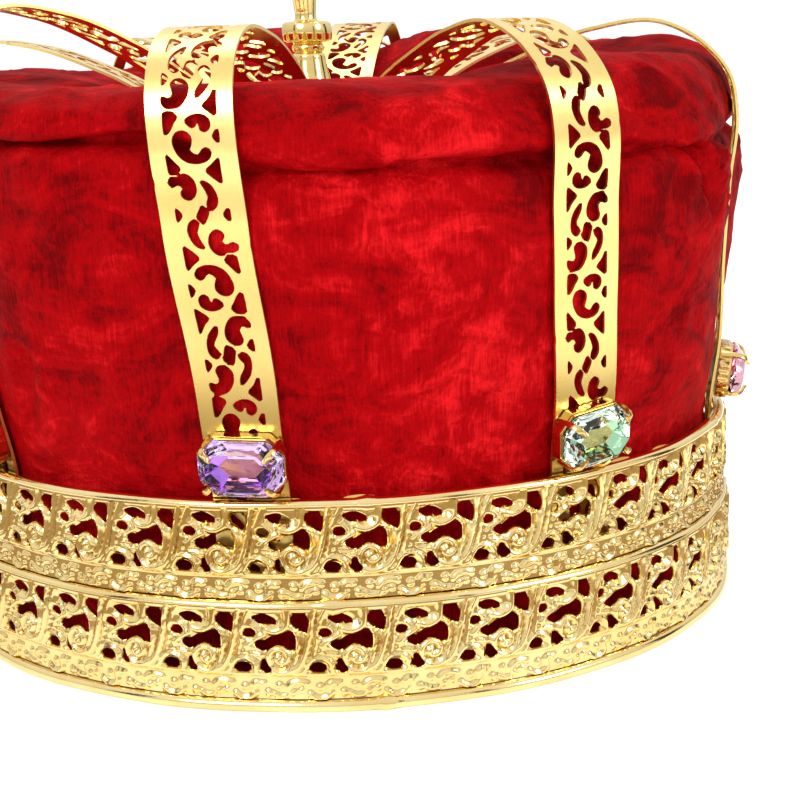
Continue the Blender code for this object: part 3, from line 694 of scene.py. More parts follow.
# Arches. Chart units are metres: across the strip, and along it from a diamond-shaped
# gap to the next; every other unit is the same one turned half round.
strips = {
    "unit": 0.0275, "acrossScale": 0.001 / 17.1, "alongScale": 0.001 / 19.9,
    "centre": 274.0, "lowDiamond": 1250.0,
    "chartHalf": 0.0056, "chartStep": 0.00012,
    # grid over the strip: its columns inside, those at each border, and its rows
    "innerHalf": 0.0054, "acrossStep": 0.00052, "border": (0.0004, -0.0004, -0.0016),
    "alongStep": 0.00060,
    "gapGrowth": 0.00021, "cornerCut": 0.0004,
    "phase": {1: 0.006, 2: 0.0433, 3: 0.0230, 4: 0.012},    # where each strip's units start
    "thinning": 0.8,                                        # share of stripSheet
    # width at the foot, what it gains further up, and where and over what length
    "footWidth": 0.975, "widening": 0.065, "widenFrom": 0.021, "widenOver": 0.050,
    # the gaps of one unit, in picture-like units: across, and down from the upper diamond
    "gaps": [
        [(272, 663), (297, 682), (281, 744), (255, 722)],
        [(276, 1211), (295, 1241), (272, 1289), (253, 1259)],
        [(190, 1221), (209, 1250), (190, 1279)],
        [(190, 716), (210, 740), (190, 770)],
        [(306, 703), (318, 690), (334, 700), (340, 745), (330, 780), (297, 817), (300, 790), (315, 760),
         (322, 735), (310, 722)],
        [(219, 762), (228, 748), (248, 745), (270, 765), (272, 795), (262, 825), (243, 850), (192, 842),
         (192, 812), (203, 818), (216, 820), (226, 806), (224, 786)],
        [(357, 785), (357, 887), (315, 850), (340, 822)],
        [(193, 872), (215, 870), (234, 885), (220, 912), (205, 940), (193, 950), (191, 930), (191, 892)],
        [(260, 902), (280, 885), (312, 882), (334, 900), (333, 928), (316, 941), (303, 928), (308, 914),
         (296, 906), (284, 926)],
        [(358, 930), (358, 985), (340, 960)],
        [(216, 965), (230, 943), (254, 940), (272, 960), (270, 985), (262, 1008), (278, 1024), (293, 1028),
         (300, 1013), (318, 1000), (330, 1012), (324, 1036), (300, 1052), (268, 1054), (238, 1038),
         (220, 1005)],
        [(188, 1020), (205, 1045), (228, 1075), (214, 1092), (190, 1096)],
        [(352, 1035), (352, 1133), (322, 1104), (305, 1082), (330, 1062)],
        [(188, 1110), (212, 1108), (236, 1095), (258, 1112), (266, 1142), (258, 1176), (238, 1192),
         (220, 1180), (217, 1165), (228, 1150), (214, 1132), (188, 1143)],
        [(284, 1122), (304, 1128), (322, 1158), (328, 1190), (318, 1222), (302, 1232), (294, 1212),
         (302, 1182), (294, 1150)],
    ],
}


def roundedOutline(corners, size):
    # a polygon with each corner cut by a small curve of three points
    start = corners + normed(np.roll(corners, 1, axis=0) - corners) * size
    end = corners + normed(np.roll(corners, -1, axis=0) - corners) * size
    middle = (start + end) / 4 + corners / 2
    return np.stack([start, middle, end], axis=1).reshape(-1, 2)


def stripOutlines(unit):
    # the gaps of one unit in metres; odd units are turned half round about the diamond
    found = []
    for rows in strips["gaps"]:
        x, y = (np.array(rows, dtype=float) - (strips["centre"], strips["lowDiamond"])).T
        x, y = x * strips["acrossScale"], -y * strips["alongScale"]
        if unit % 2:
            x, y = -x, strips["unit"] - y
        corners = np.stack([x, y + unit * strips["unit"]], -1)
        sharp = len(rows) <= 5
        found.append(roundedOutline(corners, strips["cornerCut"]) if sharp else smoothRing(corners, 40))
    return found


def archRows(crestShare, level):
    # radius and height of an arch's middle line from its foot to the crossing
    crest = crown["archCrest"] * crestShare
    hub = crown["hubHeight"] + level * crown["stackStep"]
    radius = crown["stripRadius"]
    widest = radius + crown["archFlare"]
    rows = [(radius, hoopLevels[1] + crown["hoopRoom"]), (radius, bandTop)]
    rows += [(radius + flare * crown["archFlare"], bandTop + rise * (crest - bandTop))
             for flare, rise in crown["rising"][1:]]
    rows += [(reach * widest, hub + rise * (crest - hub)) for reach, rise in crown["falling"]]
    rows += [(crown["hubRadius"] + crown["hubLead"], hub + crown["hubLeadRise"] * (crest - hub)),
             (crown["hubRadius"], hub), (0.0, hub)]
    return np.array(rows)


def stripLine(number):
    # middle line of a whole strip: radius towards its near arch (below 0 past the
    # crossing) and height, from the near foot over the crossing to the far foot
    near, far = (next(arch for arch in arches if arch["strip"] == number and arch["end"] == end)
                 for end in (1, -1))
    first = archRows(near["crest"], number - 1)
    second = archRows(far["crest"], number - 1)[:-1][::-1] * (-1, 1)
    return near, np.concatenate([first, second])


def swayAt(arch, distance):
    # sideways offset of an arch at a distance from its foot, eased between its marks
    marks = np.array(sways.get(arch["name"], straight))
    place = np.interp(distance, marks[:, 0], np.arange(len(marks)))
    step = np.floor(place)
    return np.interp(step + ease(place - step), np.arange(len(marks)), marks[:, 1])


def makeArches():
    # Each strip is the chart laid along its line: across stays across, the sheet's
    # thickness goes out from the line.
    period = 2 * strips["unit"]
    step = strips["chartStep"]
    across = np.arange(-strips["chartHalf"], strips["chartHalf"] + step, step)
    u, v = grid(across, np.arange(0, period + step, step))
    outlines = [outline for unit in (-1, 0, 1, 2) for outline in stripOutlines(unit)]
    chart = metalDistance(np.stack([u.reshape(-1), v.reshape(-1)], -1), outlines).reshape(u.shape)
    half = crown["stripWidth"] / 2
    inner = np.arange(-strips["innerHalf"], strips["innerHalf"] + 1e-9, strips["acrossStep"])
    border = half + np.array(strips["border"])
    us = np.concatenate([-border, inner, border[::-1]])
    for number in (1, 2, 3, 4):
        near, rows = stripLine(number)
        length = chordLength(rows)
        vs = np.arange(-strips["alongStep"] / 2, length + strips["alongStep"], strips["alongStep"])
        gridU, gridV = grid(us, vs)
        phase = (gridV - strips["phase"][number]) % period
        metal = readChart(chart, (across[0], 0.0), step, gridU, phase) - strips["gapGrowth"]
        for edge in (half - np.abs(gridU), gridV, length - gridV):
            metal = np.minimum(metal, edge)
        angle = math.radians(near["angle"])

        def lay(u, v, front):
            at = smoothAt(rows, v)
            way = normed(smoothAt(rows, np.minimum(v + 0.0008, length))
                         - smoothAt(rows, np.maximum(v - 0.0008, 0)))
            out = (front - 0.5) * crown["stripSheet"] * strips["thinning"]
            fromFoot = between(np.minimum(v, length - v), strips["widenFrom"], strips["widenOver"])
            offset = u * (strips["footWidth"] + strips["widening"] * ease(fromFoot)) + swayAt(near, v)
            points = polar(at[:, 0] + way[:, 1] * out, angle, at[:, 1] - way[:, 0] * out)
            points[:, :2] += offset[:, None] * (math.cos(angle), math.sin(angle))
            return points

        points, faces, _ = piercedSheet(metal, us, vs, lay)
        piece = makePiece("arch" + str(number), points, faces, golds["strip"], "arches", 50)
        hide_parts("arch_strip_" + str(number))
    print("crown: arches made")


# Velvet cap. One stretch lies between each two arches, from a to b on.
cap = {
    "wall": 0.0018, "hem": 0.0030, "footRoom": 0.0012,
    "seam": 0.1100, "roll": 0.1245, "swell": 0.0045, "rollSwell": 0.0045, "pinch": 0.0050, "dip": 0.1154,
    # room under the arches: at their rising part, at the top, and from their crest down
    "stripRoom": 0.0010, "topRoom": 0.0030, "bendRoom": 0.0075,
    "around": 320, "perSpan": 5,
    # shares of the seam's and the roll's height and of the wall's swell, and how far the
    # roll is tucked in, in metres
    "stretches": [(0.985, 1.00, 0.9, 0.0), (0.985, 1.03, 0.9, 0.0038), (1.000, 1.06, 2.6, 0.0),
                  (1.010, 1.10, 1.0, 0.0), (1.000, 1.11, 0.9, 0.0), (1.020, 1.03, 1.0, 0.0),
                  (1.050, 1.01, 0.8, 0.0), (1.045, 1.00, 0.8, 0.0)],
    # rows up the wall: share of the way to the seam, share of the swell
    "wallRows": [(0.14, 0.30), (0.34, 0.62), (0.60, 0.92)],
    # rows of the top, going in: share of the roll's reach, share of the way down to the dip
    "topRows": [(0.75, 0.03), (0.62, 0.16), (0.45, 0.55), (0.25, 0.97), (0.10, 1.0), (0.0, 1.0)],
    # distances from an arch's middle between which the top is let up, and those between
    # which ripples and folds begin
    "held": (0.0120, 0.0185), "still": (0.0085, 0.0205),
    "foldRadius": 0.1,
    # folds: angle and height where each starts, then where it ends, width and depth
    "folds": [
        (52, 0.1065, 60, 0.083, 0.0045, 0.0040), (57, 0.1075, 72, 0.090, 0.0040, 0.0030),
        (49, 0.1070, 44, 0.094, 0.0045, 0.0016), (-40, 0.070, -44, 0.047, 0.0060, 0.0026),
        (-28, 0.101, -22, 0.084, 0.0050, 0.0012), (4, 0.104, 10, 0.090, 0.0055, 0.0012),
        (20, 0.060, 10, 0.049, 0.0050, 0.0010), (-4, 0.058, 4, 0.049, 0.0045, 0.0010),
        (95, 0.1085, 102, 0.086, 0.0050, 0.0022), (140, 0.1090, 147, 0.088, 0.0050, 0.0022),
        (152, 0.1080, 150, 0.094, 0.0045, 0.0018), (190, 0.1080, 184, 0.085, 0.0050, 0.0022),
        (232, 0.1100, 238, 0.088, 0.0050, 0.0024), (282, 0.1130, 276, 0.090, 0.0050, 0.0022),
        (295, 0.1130, 300, 0.095, 0.0045, 0.0018), (120, 0.060, 110, 0.048, 0.0055, 0.0016),
        (205, 0.062, 214, 0.048, 0.0055, 0.0016), (265, 0.064, 272, 0.049, 0.0055, 0.0018),
    ],
}


def blendRound(values, angles, share=0.3):
    # A value for each stretch, blended over the arch between two stretches. Also gives
    # the stretch that each angle is in, how far along it, and its length in degrees.
    starts = np.array([arch["angle"] for arch in arches])
    spans = (np.roll(starts, -1) - starts) % 360
    turned = (angles - starts[0]) % 360
    edges = (starts - starts[0]) % 360
    here = np.clip(np.searchsorted(edges, turned, side="right") - 1, 0, len(arches) - 1)
    place = (turned - edges[here]) / spans[here]
    other = np.where(place < 0.5, here - 1, (here + 1) % len(arches))
    mix = np.minimum(1.0, 0.5 + np.minimum(place, 1 - place) / share)
    mix = (0.5 + 0.5 * np.sin((mix - 0.5) * math.pi))[:, None]
    values = np.asarray(values, dtype=float)
    return values[here] * mix + values[other] * (1 - mix), here, place, spans[here]


def heldDown(radius, height, archNumbers, offset):
    # keeps a row of the cap's top under the arches beside it, offset degrees away
    lines = [archRows(arch["crest"], 0)[7:][::-1] for arch in arches]
    inward = radius * np.cos(np.radians(offset))
    levels = np.stack([np.interp(inward, line[:, 0], line[:, 1]) for line in lines])
    beneath = levels[archNumbers, np.arange(len(inward))] - crown["stripSheet"] / 2 - cap["topRoom"]
    near, far = cap["held"]
    hold = ease(1 - between(radius * np.sin(np.radians(offset)), near, far - near))
    return np.where(height > beneath, height * (1 - hold) + beneath * hold, height)


def capSkin():
    # The cap's outer skin: at each angle a profile of radius and height, from the hem up
    # the wall, in at the crease, out over the roll and down to the middle.
    angles = np.arange(cap["around"]) * 360.0 / cap["around"]
    levels, here, place, spans = blendRound(cap["stretches"], angles)
    following = (here + 1) % len(arches)
    puff = np.sin(math.pi * place) ** 1.6
    seam, roll, swell = levels[:, :3].T * [[cap["seam"]], [cap["roll"]], [cap["swell"]]]
    swell = swell * puff
    crests = crown["archCrest"] * np.array([arch["crest"] for arch in arches])
    crest = crests[here] * (1 - ease(place)) + crests[following] * ease(place)
    low = np.minimum(roll, crest - cap["bendRoom"])
    roll = low + (roll - low) * np.clip(puff * 1.6, 0, 1)
    flares, rises = np.array(crown["rising"]).T

    def under(height):
        # radius under the arches' rising part at a height
        share = (height - bandTop) / (crest - bandTop)
        return (crown["stripRadius"] + np.interp(share, rises, flares) * crown["archFlare"]
                - crown["stripSheet"] / 2 - cap["stripRoom"])

    def upWall(share):
        return bandTop + share * (seam - bandTop)

    def upRoll(share):
        return seam + share * (roll - seam)

    widest = under(seam) + swell
    reach = under(seam) + np.minimum(swell, cap["rollSwell"]) - levels[:, 3] * np.clip(puff * 2, 0, 1)
    foot = crown["stripRadius"] - cap["footRoom"]
    rows = [(foot, cap["hem"]), (foot, bandTop * 0.55),
            (under(bandTop + 0.002) + swell * 0.02, bandTop + 0.001)]
    rows += [(under(upWall(rise)) + swell * share, upWall(rise)) for rise, share in cap["wallRows"]]
    rows += [(under(seam - 0.0085) + swell, seam - 0.0085),
             (widest - cap["pinch"] * 0.40, seam - 0.0026),
             (widest - cap["pinch"], seam),
             (reach + 0.0010 * puff, upRoll(0.17)),
             (reach * 0.995 + 0.0006 * puff, upRoll(0.50))]
    tops = [(reach * 0.955, upRoll(0.86)), (reach * 0.865, roll)]
    tops += [(reach * share, roll - drop * (roll - cap["dip"])) for share, drop in cap["topRows"]]
    for radius, height in tops:
        height = heldDown(radius, height, here, spans * place)
        rows.append((radius, heldDown(radius, height, following, spans * (1 - place))))
    skin = [np.stack(np.broadcast_arrays(*row, angles)[:2], -1) for row in rows]
    return np.radians(angles), np.array(skin), spans * np.minimum(place, 1 - place)


def foldMoves(angles, radius, height):
    # Each fold is a groove along a line on the wall, deepest near its start, with soft
    # lips: a bell curve of the distance from the line, less a wider one beside it.
    moves = np.zeros_like(height)
    for startAngle, startHeight, endAngle, endHeight, width, depth in cap["folds"]:
        x = np.radians(turnFrom(startAngle, np.degrees(angles))) * cap["foldRadius"]
        z = height - startHeight
        endX = math.radians(turnFrom(startAngle, endAngle)) * cap["foldRadius"]
        endZ = endHeight - startHeight
        share = np.clip((x * endX + z * endZ) / (endX ** 2 + endZ ** 2), 0, 1)
        away = np.hypot(x - share * endX, z - share * endZ) / width
        lips = 0.45 * np.exp(-((away - 1.1) * 2.2) ** 2)
        moves += depth * (1 - share) ** 0.8 * (radius > 0.08) * (lips - np.exp(-(away * 2.0) ** 2))
    return moves


def makeCap():
    # The skin moves outwards by slow waves, sharp-edged creases and fine ripples, and by
    # the folds; it keeps still at the arches. The inner face lies cap["wall"] behind it.
    angles, rows, offset = capSkin()
    skin = smoothSpans(rows, cap["perSpan"])[:-1]
    along = normed(np.gradient(skin, axis=0))
    outward = np.stack([along[..., 1], -along[..., 0]], -1)
    radius, height = skin[..., 0], skin[..., 1]
    where = polar(radius, angles, height, False)
    near, far = cap["still"]
    free = ease(between(radius * np.sin(np.radians(offset)), near, far - near))
    free *= between(height, bandTop + 0.001, 0.010)
    broad = ripple(where, 0.045, 11) * 0.00060
    creases = (1 - np.abs(ripple(where * (1.0, 1.0, 1.7), 0.020, 12))) * 0.00040
    fine = ripple(where * (1.0, 1.0, 1.35), 0.0095, 13) * 0.00012
    move = (broad + creases + fine) * free + foldMoves(angles, radius, height) * np.clip(free * 1.4, 0, 1)
    skin = skin + outward * move[..., None]
    inside = skin - outward * cap["wall"]
    inside[0] = skin[0] - (cap["wall"], 0.0)
    rowCount, around = skin.shape[:2]
    each = rowCount * around
    outer = polar(skin[..., 0], angles, skin[..., 1]).reshape(-1, 3)
    inner = polar(np.maximum(inside[..., 0], 0.0004), angles, inside[..., 1]).reshape(-1, 3)
    middle = polar(0.0, 0.0, np.array([cap["dip"], cap["dip"] - cap["wall"]]))
    points = np.concatenate([outer, inner, middle])
    outerFaces = gridFaces(rowCount, around)
    ring = np.arange(around)
    after = np.roll(ring, -1)
    hem = np.stack([after, ring, ring + each, after + each], -1)
    lids = [fan(each - around, around, 2 * each), fan(2 * each - around, around, 2 * each + 1, flipped=True)]
    piece = makePiece("velvetCap", points, [outerFaces, outerFaces[:, ::-1] + each, hem, *lids],
                      velvetCloth, "velvet", 80)
    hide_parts("velvet_cap")


# Hoops: a round wire along a ring that keeps slight flats from its bending, with a
# soldered joint where its ends meet
hoops = {
    "wire": 0.00132, "around": 240, "sides": 14, "flats": 17, "flatDepth": 0.00030,
    # tier, angle and size of each solder joint, and half its length in degrees
    "joints": [(0, 4.6, 0.0005), (1, -1.6, 0.0005), (2, 3.0, 0.0005), (0, 178.0, 0.0005),
               (1, 66.0, 0.0004), (2, 64.0, 0.0004), (2, 200.0, 0.0005)],
    "jointHalf": 0.9,
}


def makeHoops():
    # Flats: between bends the ring's radius falls short by a squared half sine. A joint
    # thickens the wire by a bell curve of the angle.
    angles = roundTurn(hoops["around"])
    sides = roundTurn(hoops["sides"])[:, None]
    for tier, name in enumerate(("Bottom", "Middle", "Top")):
        phase = (angles / (2 * math.pi) * hoops["flats"] + 0.37 * tier) % 1.0
        ring = hoopRadii[tier] - hoops["flatDepth"] * np.sin(math.pi * phase) ** 2
        wire = np.full(len(angles), hoops["wire"])
        for level, degrees, size in hoops["joints"]:
            if level == tier:
                away = turnFrom(degrees, np.degrees(angles)) / hoops["jointHalf"]
                wire = wire + size * np.exp(-away ** 2) * (1 + 0.5 * np.sin(angles * 900))
        height = np.maximum(hoopLevels[tier] + wire * np.sin(sides), 0.0)
        points = polar(ring + wire * np.cos(sides), angles, height, False).reshape(-1, 3)
        faces = gridFaces(hoops["sides"], hoops["around"], roundRows=True)
        piece = makePiece("hoop" + name, points, [faces], golds["hoop"], "hoops", 60)
        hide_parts("rim_" + name.lower())
    print("crown: hoops made")


# Small scalloped tips of the pressed sheet that stand over the top hoop
tips = {"height": 0.0007, "sheet": 0.0005, "radius": 0.0955, "around": 720, "foot": 0.0006, "rise": 0.75}


def makeTips():
    # A thin ring whose upper edge is a row of rounded tips, flattened here and there: a
    # sine, cut off below 0, times a slower one.
    angles = roundTurn(tips["around"])
    wave = np.clip(np.sin(angles * crown["repeats"]), 0, 1) ** 0.6
    kept = np.clip(np.sin(angles * 11 + 0.7) + np.sin(angles * 7 + 2.1), 0, 1)
    top = hoopLevels[2] + hoops["wire"] * tips["rise"] + tips["height"] * wave * kept
    low = np.full_like(top, hoopLevels[2] - tips["foot"])
    inner = tips["radius"] - tips["sheet"]
    rows = [(tips["radius"], low), (tips["radius"], top), (inner, top), (inner, low)]
    points = np.concatenate([polar(radius, angles, height, False) for radius, height in rows])
    faces = gridFaces(len(rows), tips["around"], roundRows=True)
    makePiece("scallopTips", points, [faces], golds["band"], "filigree", 50)
    print("crown: scallop tips made")


# Settings and stones. A stone's frame is its place on the arch's outer face and its
# across, up and out directions.
stones = {
    "width": 0.0170, "height": 0.0118, "corner": 0.0033, "crown": 0.0026, "pavilion": 0.0030,
    "lift": 0.0022,             # from the band's top to the stone's lower edge
    "swayAt": 0.03,             # the stone moves sideways with its arch, at this distance
    "seat": 0.0036, "proud": 0.0004, "gap": 0.0003,
    # the stone's rings from its small base to the table: size, depth as a share
    "rings": [(0.30, -1.0), (0.62, -0.62), (1.0, 0.0), (1.0, 0.10), (0.90, 0.50), (0.66, 1.0)],
    "bulge": 1.018,             # how proud the middle of a facet stands
    "foil": {"near": 0.00012, "far": 0.00030, "rim": 0.0006},
    # the cup's rings: share of its wall, depth, 1 where it is ribbed
    "wall": 0.0006, "around": 96, "ribs": 28, "ribDepth": 0.00035,
    "cup": [(-0.6, 0.0003, 0.0), (-0.1, 0.0003, 0.0), (-0.05, 0.0007, 1.0), (-0.05, 0.0022, 1.0),
            (0.15, 0.0025, 0.0), (0.2, 0.0029, 0.0), (0.0, 0.0032, 0.0), (-0.9, 0.0032, 0.0),
            (-0.9, 0.0010, 0.0)],
    "prong": {"width": 0.0013, "thick": 0.00050, "reach": 0.0021, "length": 0.0085, "steps": 15,
              "outside": 0.0003, "tipFrom": 0.72,
              # points across it: share of half its width, share of its thickness
              "section": [(-1, -0.5), (1, -0.5), (1, 0.5), (0.0, 0.85), (-1, 0.5)]},
}


def stoneFrame(arch):
    line = archRows(arch["crest"], arch["strip"] - 1)
    rising = line[:int(np.argmax(line[:, 0])) + 1]
    centre = bandTop + stones["height"] / 2 + stones["lift"]
    above = centre + stones["height"] / 4
    radius, ahead = (np.interp(level, rising[:, 1], rising[:, 0]) for level in (centre, above))
    slope = math.atan2(ahead - radius, above - centre)
    angle = math.radians(arch["angle"])
    across = np.array([math.cos(angle), math.sin(angle), 0.0])
    radial = np.array([math.sin(angle), -math.cos(angle), 0.0])
    up = np.array([0.0, 0.0, math.cos(slope)]) + radial * math.sin(slope)
    up[0] -= crown["lean"] * up[2]
    up = normed(up - across * np.dot(up, across))
    out = np.cross(across, up)
    spin = math.radians(arch["turn"])
    place = polar(radius, angle, centre) + out * crown["stripSheet"] / 2
    return (place + across * swayAt(arch, stones["swayAt"]), across * math.cos(spin) + up * math.sin(spin),
            up * math.cos(spin) - across * math.sin(spin), out)


def inFrame(stand, points):
    # points (n, 3) measured across, up and out from the stand's place
    return stand[0] + points @ np.array(stand[1:])


def cutCorners(width, height, corner):
    # eight points of a rectangle with its corners cut off, from the lower right round
    w, h = width / 2, height / 2
    return np.array([(w, -h + corner), (w, h - corner), (w - corner, h), (-w + corner, h),
                     (-w, h - corner), (-w, -h + corner), (-w + corner, -h), (w - corner, -h)])


def evenOutline(width, height, corner, count):
    # the same outline as count evenly spaced points
    corners = cutCorners(width, height, corner)
    closed = np.concatenate([corners, corners[:1]])
    steps = np.linalg.norm(np.diff(closed, axis=0), axis=1)
    marks = np.concatenate([[0.0], np.cumsum(steps)])
    at = np.arange(count) * marks[-1] / count
    return np.stack([np.interp(at, marks, closed[:, axis]) for axis in (0, 1)], -1)


def makeStone(arch):
    # Rings of eight points from the small base over the girdle to the table; each side
    # facet is split in four about a middle point that stands a little proud.
    girdle = stones["seat"] + stones["proud"]
    points, faces = [], []
    for size, depth in stones["rings"]:
        inset = (1 - size) * stones["height"]
        corner = stones["corner"] * (0.6 + size) / 1.6
        level = girdle + depth * (stones["crown"] if depth > 0 else stones["pavilion"])
        outline = cutCorners(stones["width"] - inset, stones["height"] - inset, corner)
        points += [(x, y, level) for x, y in outline]
    corners = np.array(points)
    for ring in range(5):
        for side in range(8):
            after = (side + 1) % 8
            quad = [ring * 8 + side, ring * 8 + after, ring * 8 + 8 + after, ring * 8 + 8 + side]
            if ring == 2:
                faces += [(quad[0], quad[1], quad[2]), (quad[0], quad[2], quad[3])]
                continue
            points.append(tuple(corners[quad].mean(axis=0) * (stones["bulge"], stones["bulge"], 1.0)))
            faces += [(quad[k], quad[(k + 1) % 4], len(points) - 1) for k in range(4)]
    for end in (np.arange(8)[::-1], np.arange(8) + 40):
        faces += [(end[0], end[k], end[k + 1]) for k in range(1, 7)]
    stand = stoneFrame(arch)
    letter, glass = arch["name"], arch["glass"]
    piece = makePiece("stone" + letter.upper(), inFrame(stand, np.array(points)), [np.array(faces)],
                      glasses[glass], glass + "_glass")
    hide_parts("stone_" + letter)
    # foil: the stone's lower half again, a hair outside it, as a closed thin shell
    foil = stones["foil"]
    shells = np.concatenate([corners[:24] - (0, 0, foil[face]) for face in ("near", "far")])
    shells.reshape(2, 24, 3)[:, 16:, 2] = girdle - foil["rim"]
    quads = gridFaces(3, 8)
    ring = np.arange(8) + 16
    after = np.roll(ring, -1)
    rim = np.stack([ring, after, after + 24, ring + 24], -1)
    floor = np.array([[0, k, k + 1] for k in range(1, 7)])
    faceSets = [quads[:, ::-1], quads + 24, rim, floor, floor[:, ::-1] + 24]
    makePiece("foil" + letter.upper(), inFrame(stand, shells), faceSets, foils[glass], glass + "_glass")


def prongStrips(stand):
    # Four flat prongs, each a line that rises at a cut corner and bends in over the
    # stone, with a section of five points; its half width runs out in a quarter circle.
    prong = stones["prong"]
    top = stones["seat"] + stones["proud"] + stones["crown"]
    line = smoothAt([(0.0, 0.0006), (0.00012, stones["seat"]), (-0.00002, top - 0.0012),
                     (-0.00075, top - 0.00015), (-prong["reach"], top + 0.00035)],
                    np.linspace(0, prong["length"], prong["steps"]))
    lines = normed(np.gradient(line, axis=0))
    normal = np.stack([lines[:, 1], -lines[:, 0]], -1) * prong["thick"]
    share = np.linspace(0, 1, prong["steps"])
    tip = np.sqrt(np.clip(1 - ((share - prong["tipFrom"]) / 0.285) ** 2, 0.03, 1))
    width = prong["width"] / 2 * np.where(share < prong["tipFrom"], 0.86 + 0.2 * share, tip)
    corner = (np.array([stones["width"], stones["height"]]) - stones["corner"]) / 2
    strips = []
    for sign in ((1, -1), (1, 1), (-1, 1), (-1, -1)):
        way = np.array(sign) / math.sqrt(2)
        side = np.array([-way[1], way[0]])
        start = corner * sign + way * (stones["gap"] + prong["outside"])
        strip = []
        for across, thick in prong["section"]:
            run = line + normal * thick
            flat = start + way * run[:, :1] + side * (across * width)[:, None]
            strip.append(inFrame(stand, np.column_stack([flat, run[:, 1]])))
        strips.append(np.stack(strip, axis=1).reshape(-1, 3))
    return strips


def makeSetting(arch):
    # A cup whose wall has a row of upright ribs, over it a plain bead, and four flat
    # prongs; the ribs are the absolute value of a sine round the outline.
    stand = stoneFrame(arch)
    count = stones["around"]
    inner = evenOutline(stones["width"] + 2 * stones["gap"], stones["height"] + 2 * stones["gap"],
                        stones["corner"], count)
    ribs = np.abs(np.sin(np.arange(count) * math.pi * stones["ribs"] / count)) - 0.5
    parts = []
    for share, depth, ribbed in stones["cup"]:
        wall = stones["wall"] * share + stones["ribDepth"] * ribbed * ribs
        ring = inner + normed(inner) * wall[:, None]
        parts.append(inFrame(stand, np.column_stack([ring, np.full(count, depth)])))
    parts.append(inFrame(stand, np.array([(0.0, 0.0, stones["cup"][end][1]) for end in (0, -1)])))
    cup, *corners = closedFaces(len(stones["cup"]), count)
    quads = [cup]
    end = np.array([[0, 1, 2], [0, 2, 3], [0, 3, 4]])
    for strip in prongStrips(stand):
        first = sum(len(part) for part in parts)
        quads.append(gridFaces(stones["prong"]["steps"], 5, first=first))
        corners += [first + end[:, [0, 2, 1]], first + len(strip) - 5 + end]
        parts.append(strip)
    piece = makePiece("setting" + arch["name"].upper(), np.concatenate(parts),
                      [np.concatenate(quads), np.concatenate(corners)], golds["cup"], "settings", 40)
    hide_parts("setting_" + arch["name"])


# Finial: a profile turned round an axis that leans as the arches do
finial = {
    "sides": 56, "perSpan": 5, "collar": 0.0112, "collarHalf": 0.0008, "collarDepth": 0.00016,
    # radius and height above the crossing's top, in millimetres
    "profile": [(0.0, -4.0), (1.5, -4.0), (1.5, 0.0), (1.6, 0.25), (6.2, 0.3), (6.4, 0.5), (6.4, 1.0),
                (5.9, 1.5), (5.3, 2.4), (4.75, 4.2), (4.4, 6.2), (4.1, 8.2), (3.9, 9.5), (3.7, 9.8),
                (3.3, 10.0), (3.7, 10.3), (3.9, 10.8), (3.9, 11.7), (3.6, 12.1), (3.7, 12.3), (5.2, 12.5),
                (5.85, 12.9), (6.0, 13.5), (6.0, 16.3), (5.8, 16.9), (5.2, 17.3), (3.2, 17.45),
                (2.85, 17.7), (2.6, 18.6), (2.7, 20.6), (3.0, 23.4), (3.3, 25.2), (4.4, 26.6), (6.1, 29.0),
                (6.8, 32.0), (6.3, 35.1), (4.6, 37.3), (2.4, 38.4), (0.0, 38.7)],
}


def makeFinial():
    # The smooth profile turned round; the collar has small dents, a product of two sines
    rows = np.array(finial["profile"]) * 0.001
    line = smoothSpans(rows[:, None], finial["perSpan"])[1:-1, 0]
    height = line[:, 1:]
    angles = roundTurn(finial["sides"])
    collar = np.exp(-((height - finial["collar"]) / finial["collarHalf"]) ** 2) * finial["collarDepth"]
    radius = np.maximum(line[:, :1], 0.00005)
    radius = radius + collar * np.sin(angles * 7 + 1.0) * np.sin(angles * 3 + height * 4000)
    base = crown["hubHeight"] + 3 * crown["stackStep"] + crown["stripSheet"] / 2
    points = polar(radius, angles, base + height).reshape(-1, 3)
    ends = polar(0.0, 0.0, base + rows[[0, -1], 1])
    piece = makePiece("crownFinial", np.concatenate([points, ends]), closedFaces(len(line), len(angles)),
                      golds["finial"], "finial", 50)
    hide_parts("finial")
    print("crown: finial made")


# Floor, light and the soft surroundings that the gold reflects
studio = {
    "floor": (0.88, 0.88, 0.88), "floorRadius": 3.0, "floorGlow": 0.30, "backdrop": 1.05,
    # brightness of the surroundings by height, from straight down to straight up
    "surround": [(0.0, 0.40), (0.42, 0.50), (0.50, 0.66), (0.58, 0.82), (0.72, 0.97), (1.0, 1.0)],
    # a ring on the floor that only the metal's reflections see
    "shade": {"inner": 0.13, "outer": 0.30, "level": 0.0004, "colour": (0.30, 0.22, 0.12)},
    # place, size, power and aim of each soft box
    "boxes": [
        ((-0.50, -0.80, 0.62), 0.50, 4.6, (0, 0, 0.07)),
        ((0.80, -0.50, 0.50), 0.35, 3.6, (0, 0, 0.07)),
        ((0.0, 0.30, 1.00), 0.70, 3.0, (0, 0, 0.08)),
    ],
    # dark cards beside the crown, which only reflections see: place, width and height
    "cards": [((-0.95, -0.55, 0.20), 0.16, 0.9), ((0.60, -0.95, 0.20), 0.10, 0.9),
              ((1.05, 0.15, 0.2), 0.25, 0.9)],
    "cardColour": (0.015, 0.013, 0.012),
}


def stageMesh(name, points, faces, finish, unseenBy=()):
    mesh = bpy.data.meshes.new(name)
    mesh.from_pydata(points, [], faces)
    mesh.materials.append(finish.owner)
    standing(name, mesh, unseenBy)


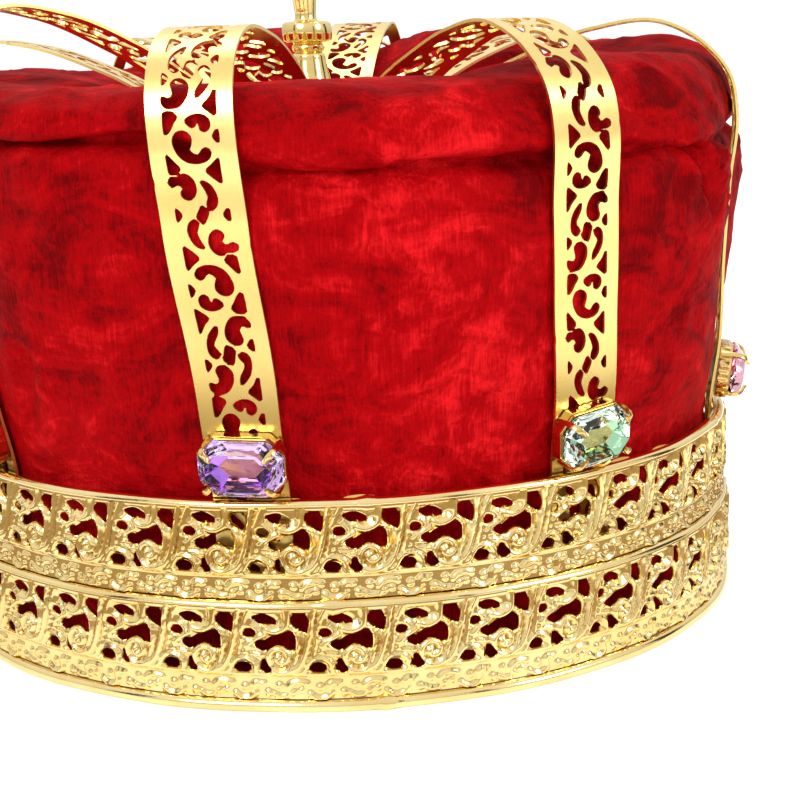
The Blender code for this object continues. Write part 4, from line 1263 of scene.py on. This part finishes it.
def makeStudio():
    floor = material("paleFloor", Base_Color=studio["floor"], Roughness=0.6, Specular_IOR_Level=0.0,
                     Emission_Color=(1.0, 1.0, 1.0), Emission_Strength=studio["floorGlow"])
    turn = roundTurn(64)
    circle = np.stack([np.cos(turn), np.sin(turn), np.zeros(64)], -1)
    stageMesh("floor", (circle * studio["floorRadius"]).tolist(), [tuple(range(64))], floor)
    dark = material("darkCard", Base_Color=studio["cardColour"], Roughness=0.9)
    for number, (place, width, tall) in enumerate(studio["cards"]):
        away = normed(np.array([place[1], -place[0], 0.0]))
        corners = np.array([np.array(place) + away * width / 2 * x + np.array([0, 0, tall / 2 * z])
                            for x, z in ((-1, -1), (1, -1), (1, 1), (-1, 1))])
        corners[:, 2] = np.maximum(corners[:, 2], 0.001)
        stageMesh("card" + str(number), corners.tolist(), [(0, 1, 2, 3)], dark,
                  ("camera", "shadow", "transmission"))
    shade = studio["shade"]
    under = material("shadeRing", Base_Color=shade["colour"], Roughness=0.9)
    circles = np.concatenate([circle * shade[edge] + (0, 0, shade["level"]) for edge in ("inner", "outer")])
    ring = np.arange(64)
    after = np.roll(ring, -1)
    sides = np.stack([ring, ring + 64, after + 64, after], -1)
    stageMesh("shadeRing", circles.tolist(), sides.tolist(), under,
              ("camera", "shadow", "diffuse", "transmission"))
    for number, (place, size, power, aim) in enumerate(studio["boxes"]):
        lamp = bpy.data.lights.new("softBox" + str(number), "AREA")
        lamp.shape = "DISK"
        lamp.size = size
        lamp.energy = power
        back = normed(np.array(place) - np.array(aim))
        right = normed(np.cross((0.0, 0.0, 1.0), back))
        aimed(standing("softBox" + str(number), lamp), right, np.cross(back, right), back, place)
    print("crown: floor and lights set")


def makeSurround():
    # The world is a ramp of brightness by height; the camera alone sees a plain white.
    world = bpy.data.worlds.new("surround")
    made = Finish(world, "Background")
    upward = made.node("ShaderNodeSeparateXYZ", {0: made.node("ShaderNodeTexCoord", out=0)}, out=2)
    share = made.node("ShaderNodeMapRange", {"Value": upward, "From Min": -1.0})
    made.set(Color=made.node("ShaderNodeValToRGB", {0: share}, stops=studio["surround"]))
    plain = made.node("ShaderNodeBackground", {"Color": (1.0, 1.0, 1.0), "Strength": studio["backdrop"]})
    either = made.node("ShaderNodeMixShader", {
        0: made.node("ShaderNodeLightPath", out=0), 1: Sock(made, made.shader.outputs[0]), 2: plain})
    made.feed(made.tree.nodes["World Output"].inputs["Surface"], either)
    bpy.context.scene.world = world
    bpy.context.scene.view_settings.view_transform = "Standard"
    print("crown: surroundings set")


makeFiligree()
makeArches()
makeCap()
makeHoops()
makeTips()
for arch in arches:
    makeStone(arch)
    makeSetting(arch)
print("crown: settings and stones made")
makeFinial()
makeStudio()
makeSurround()
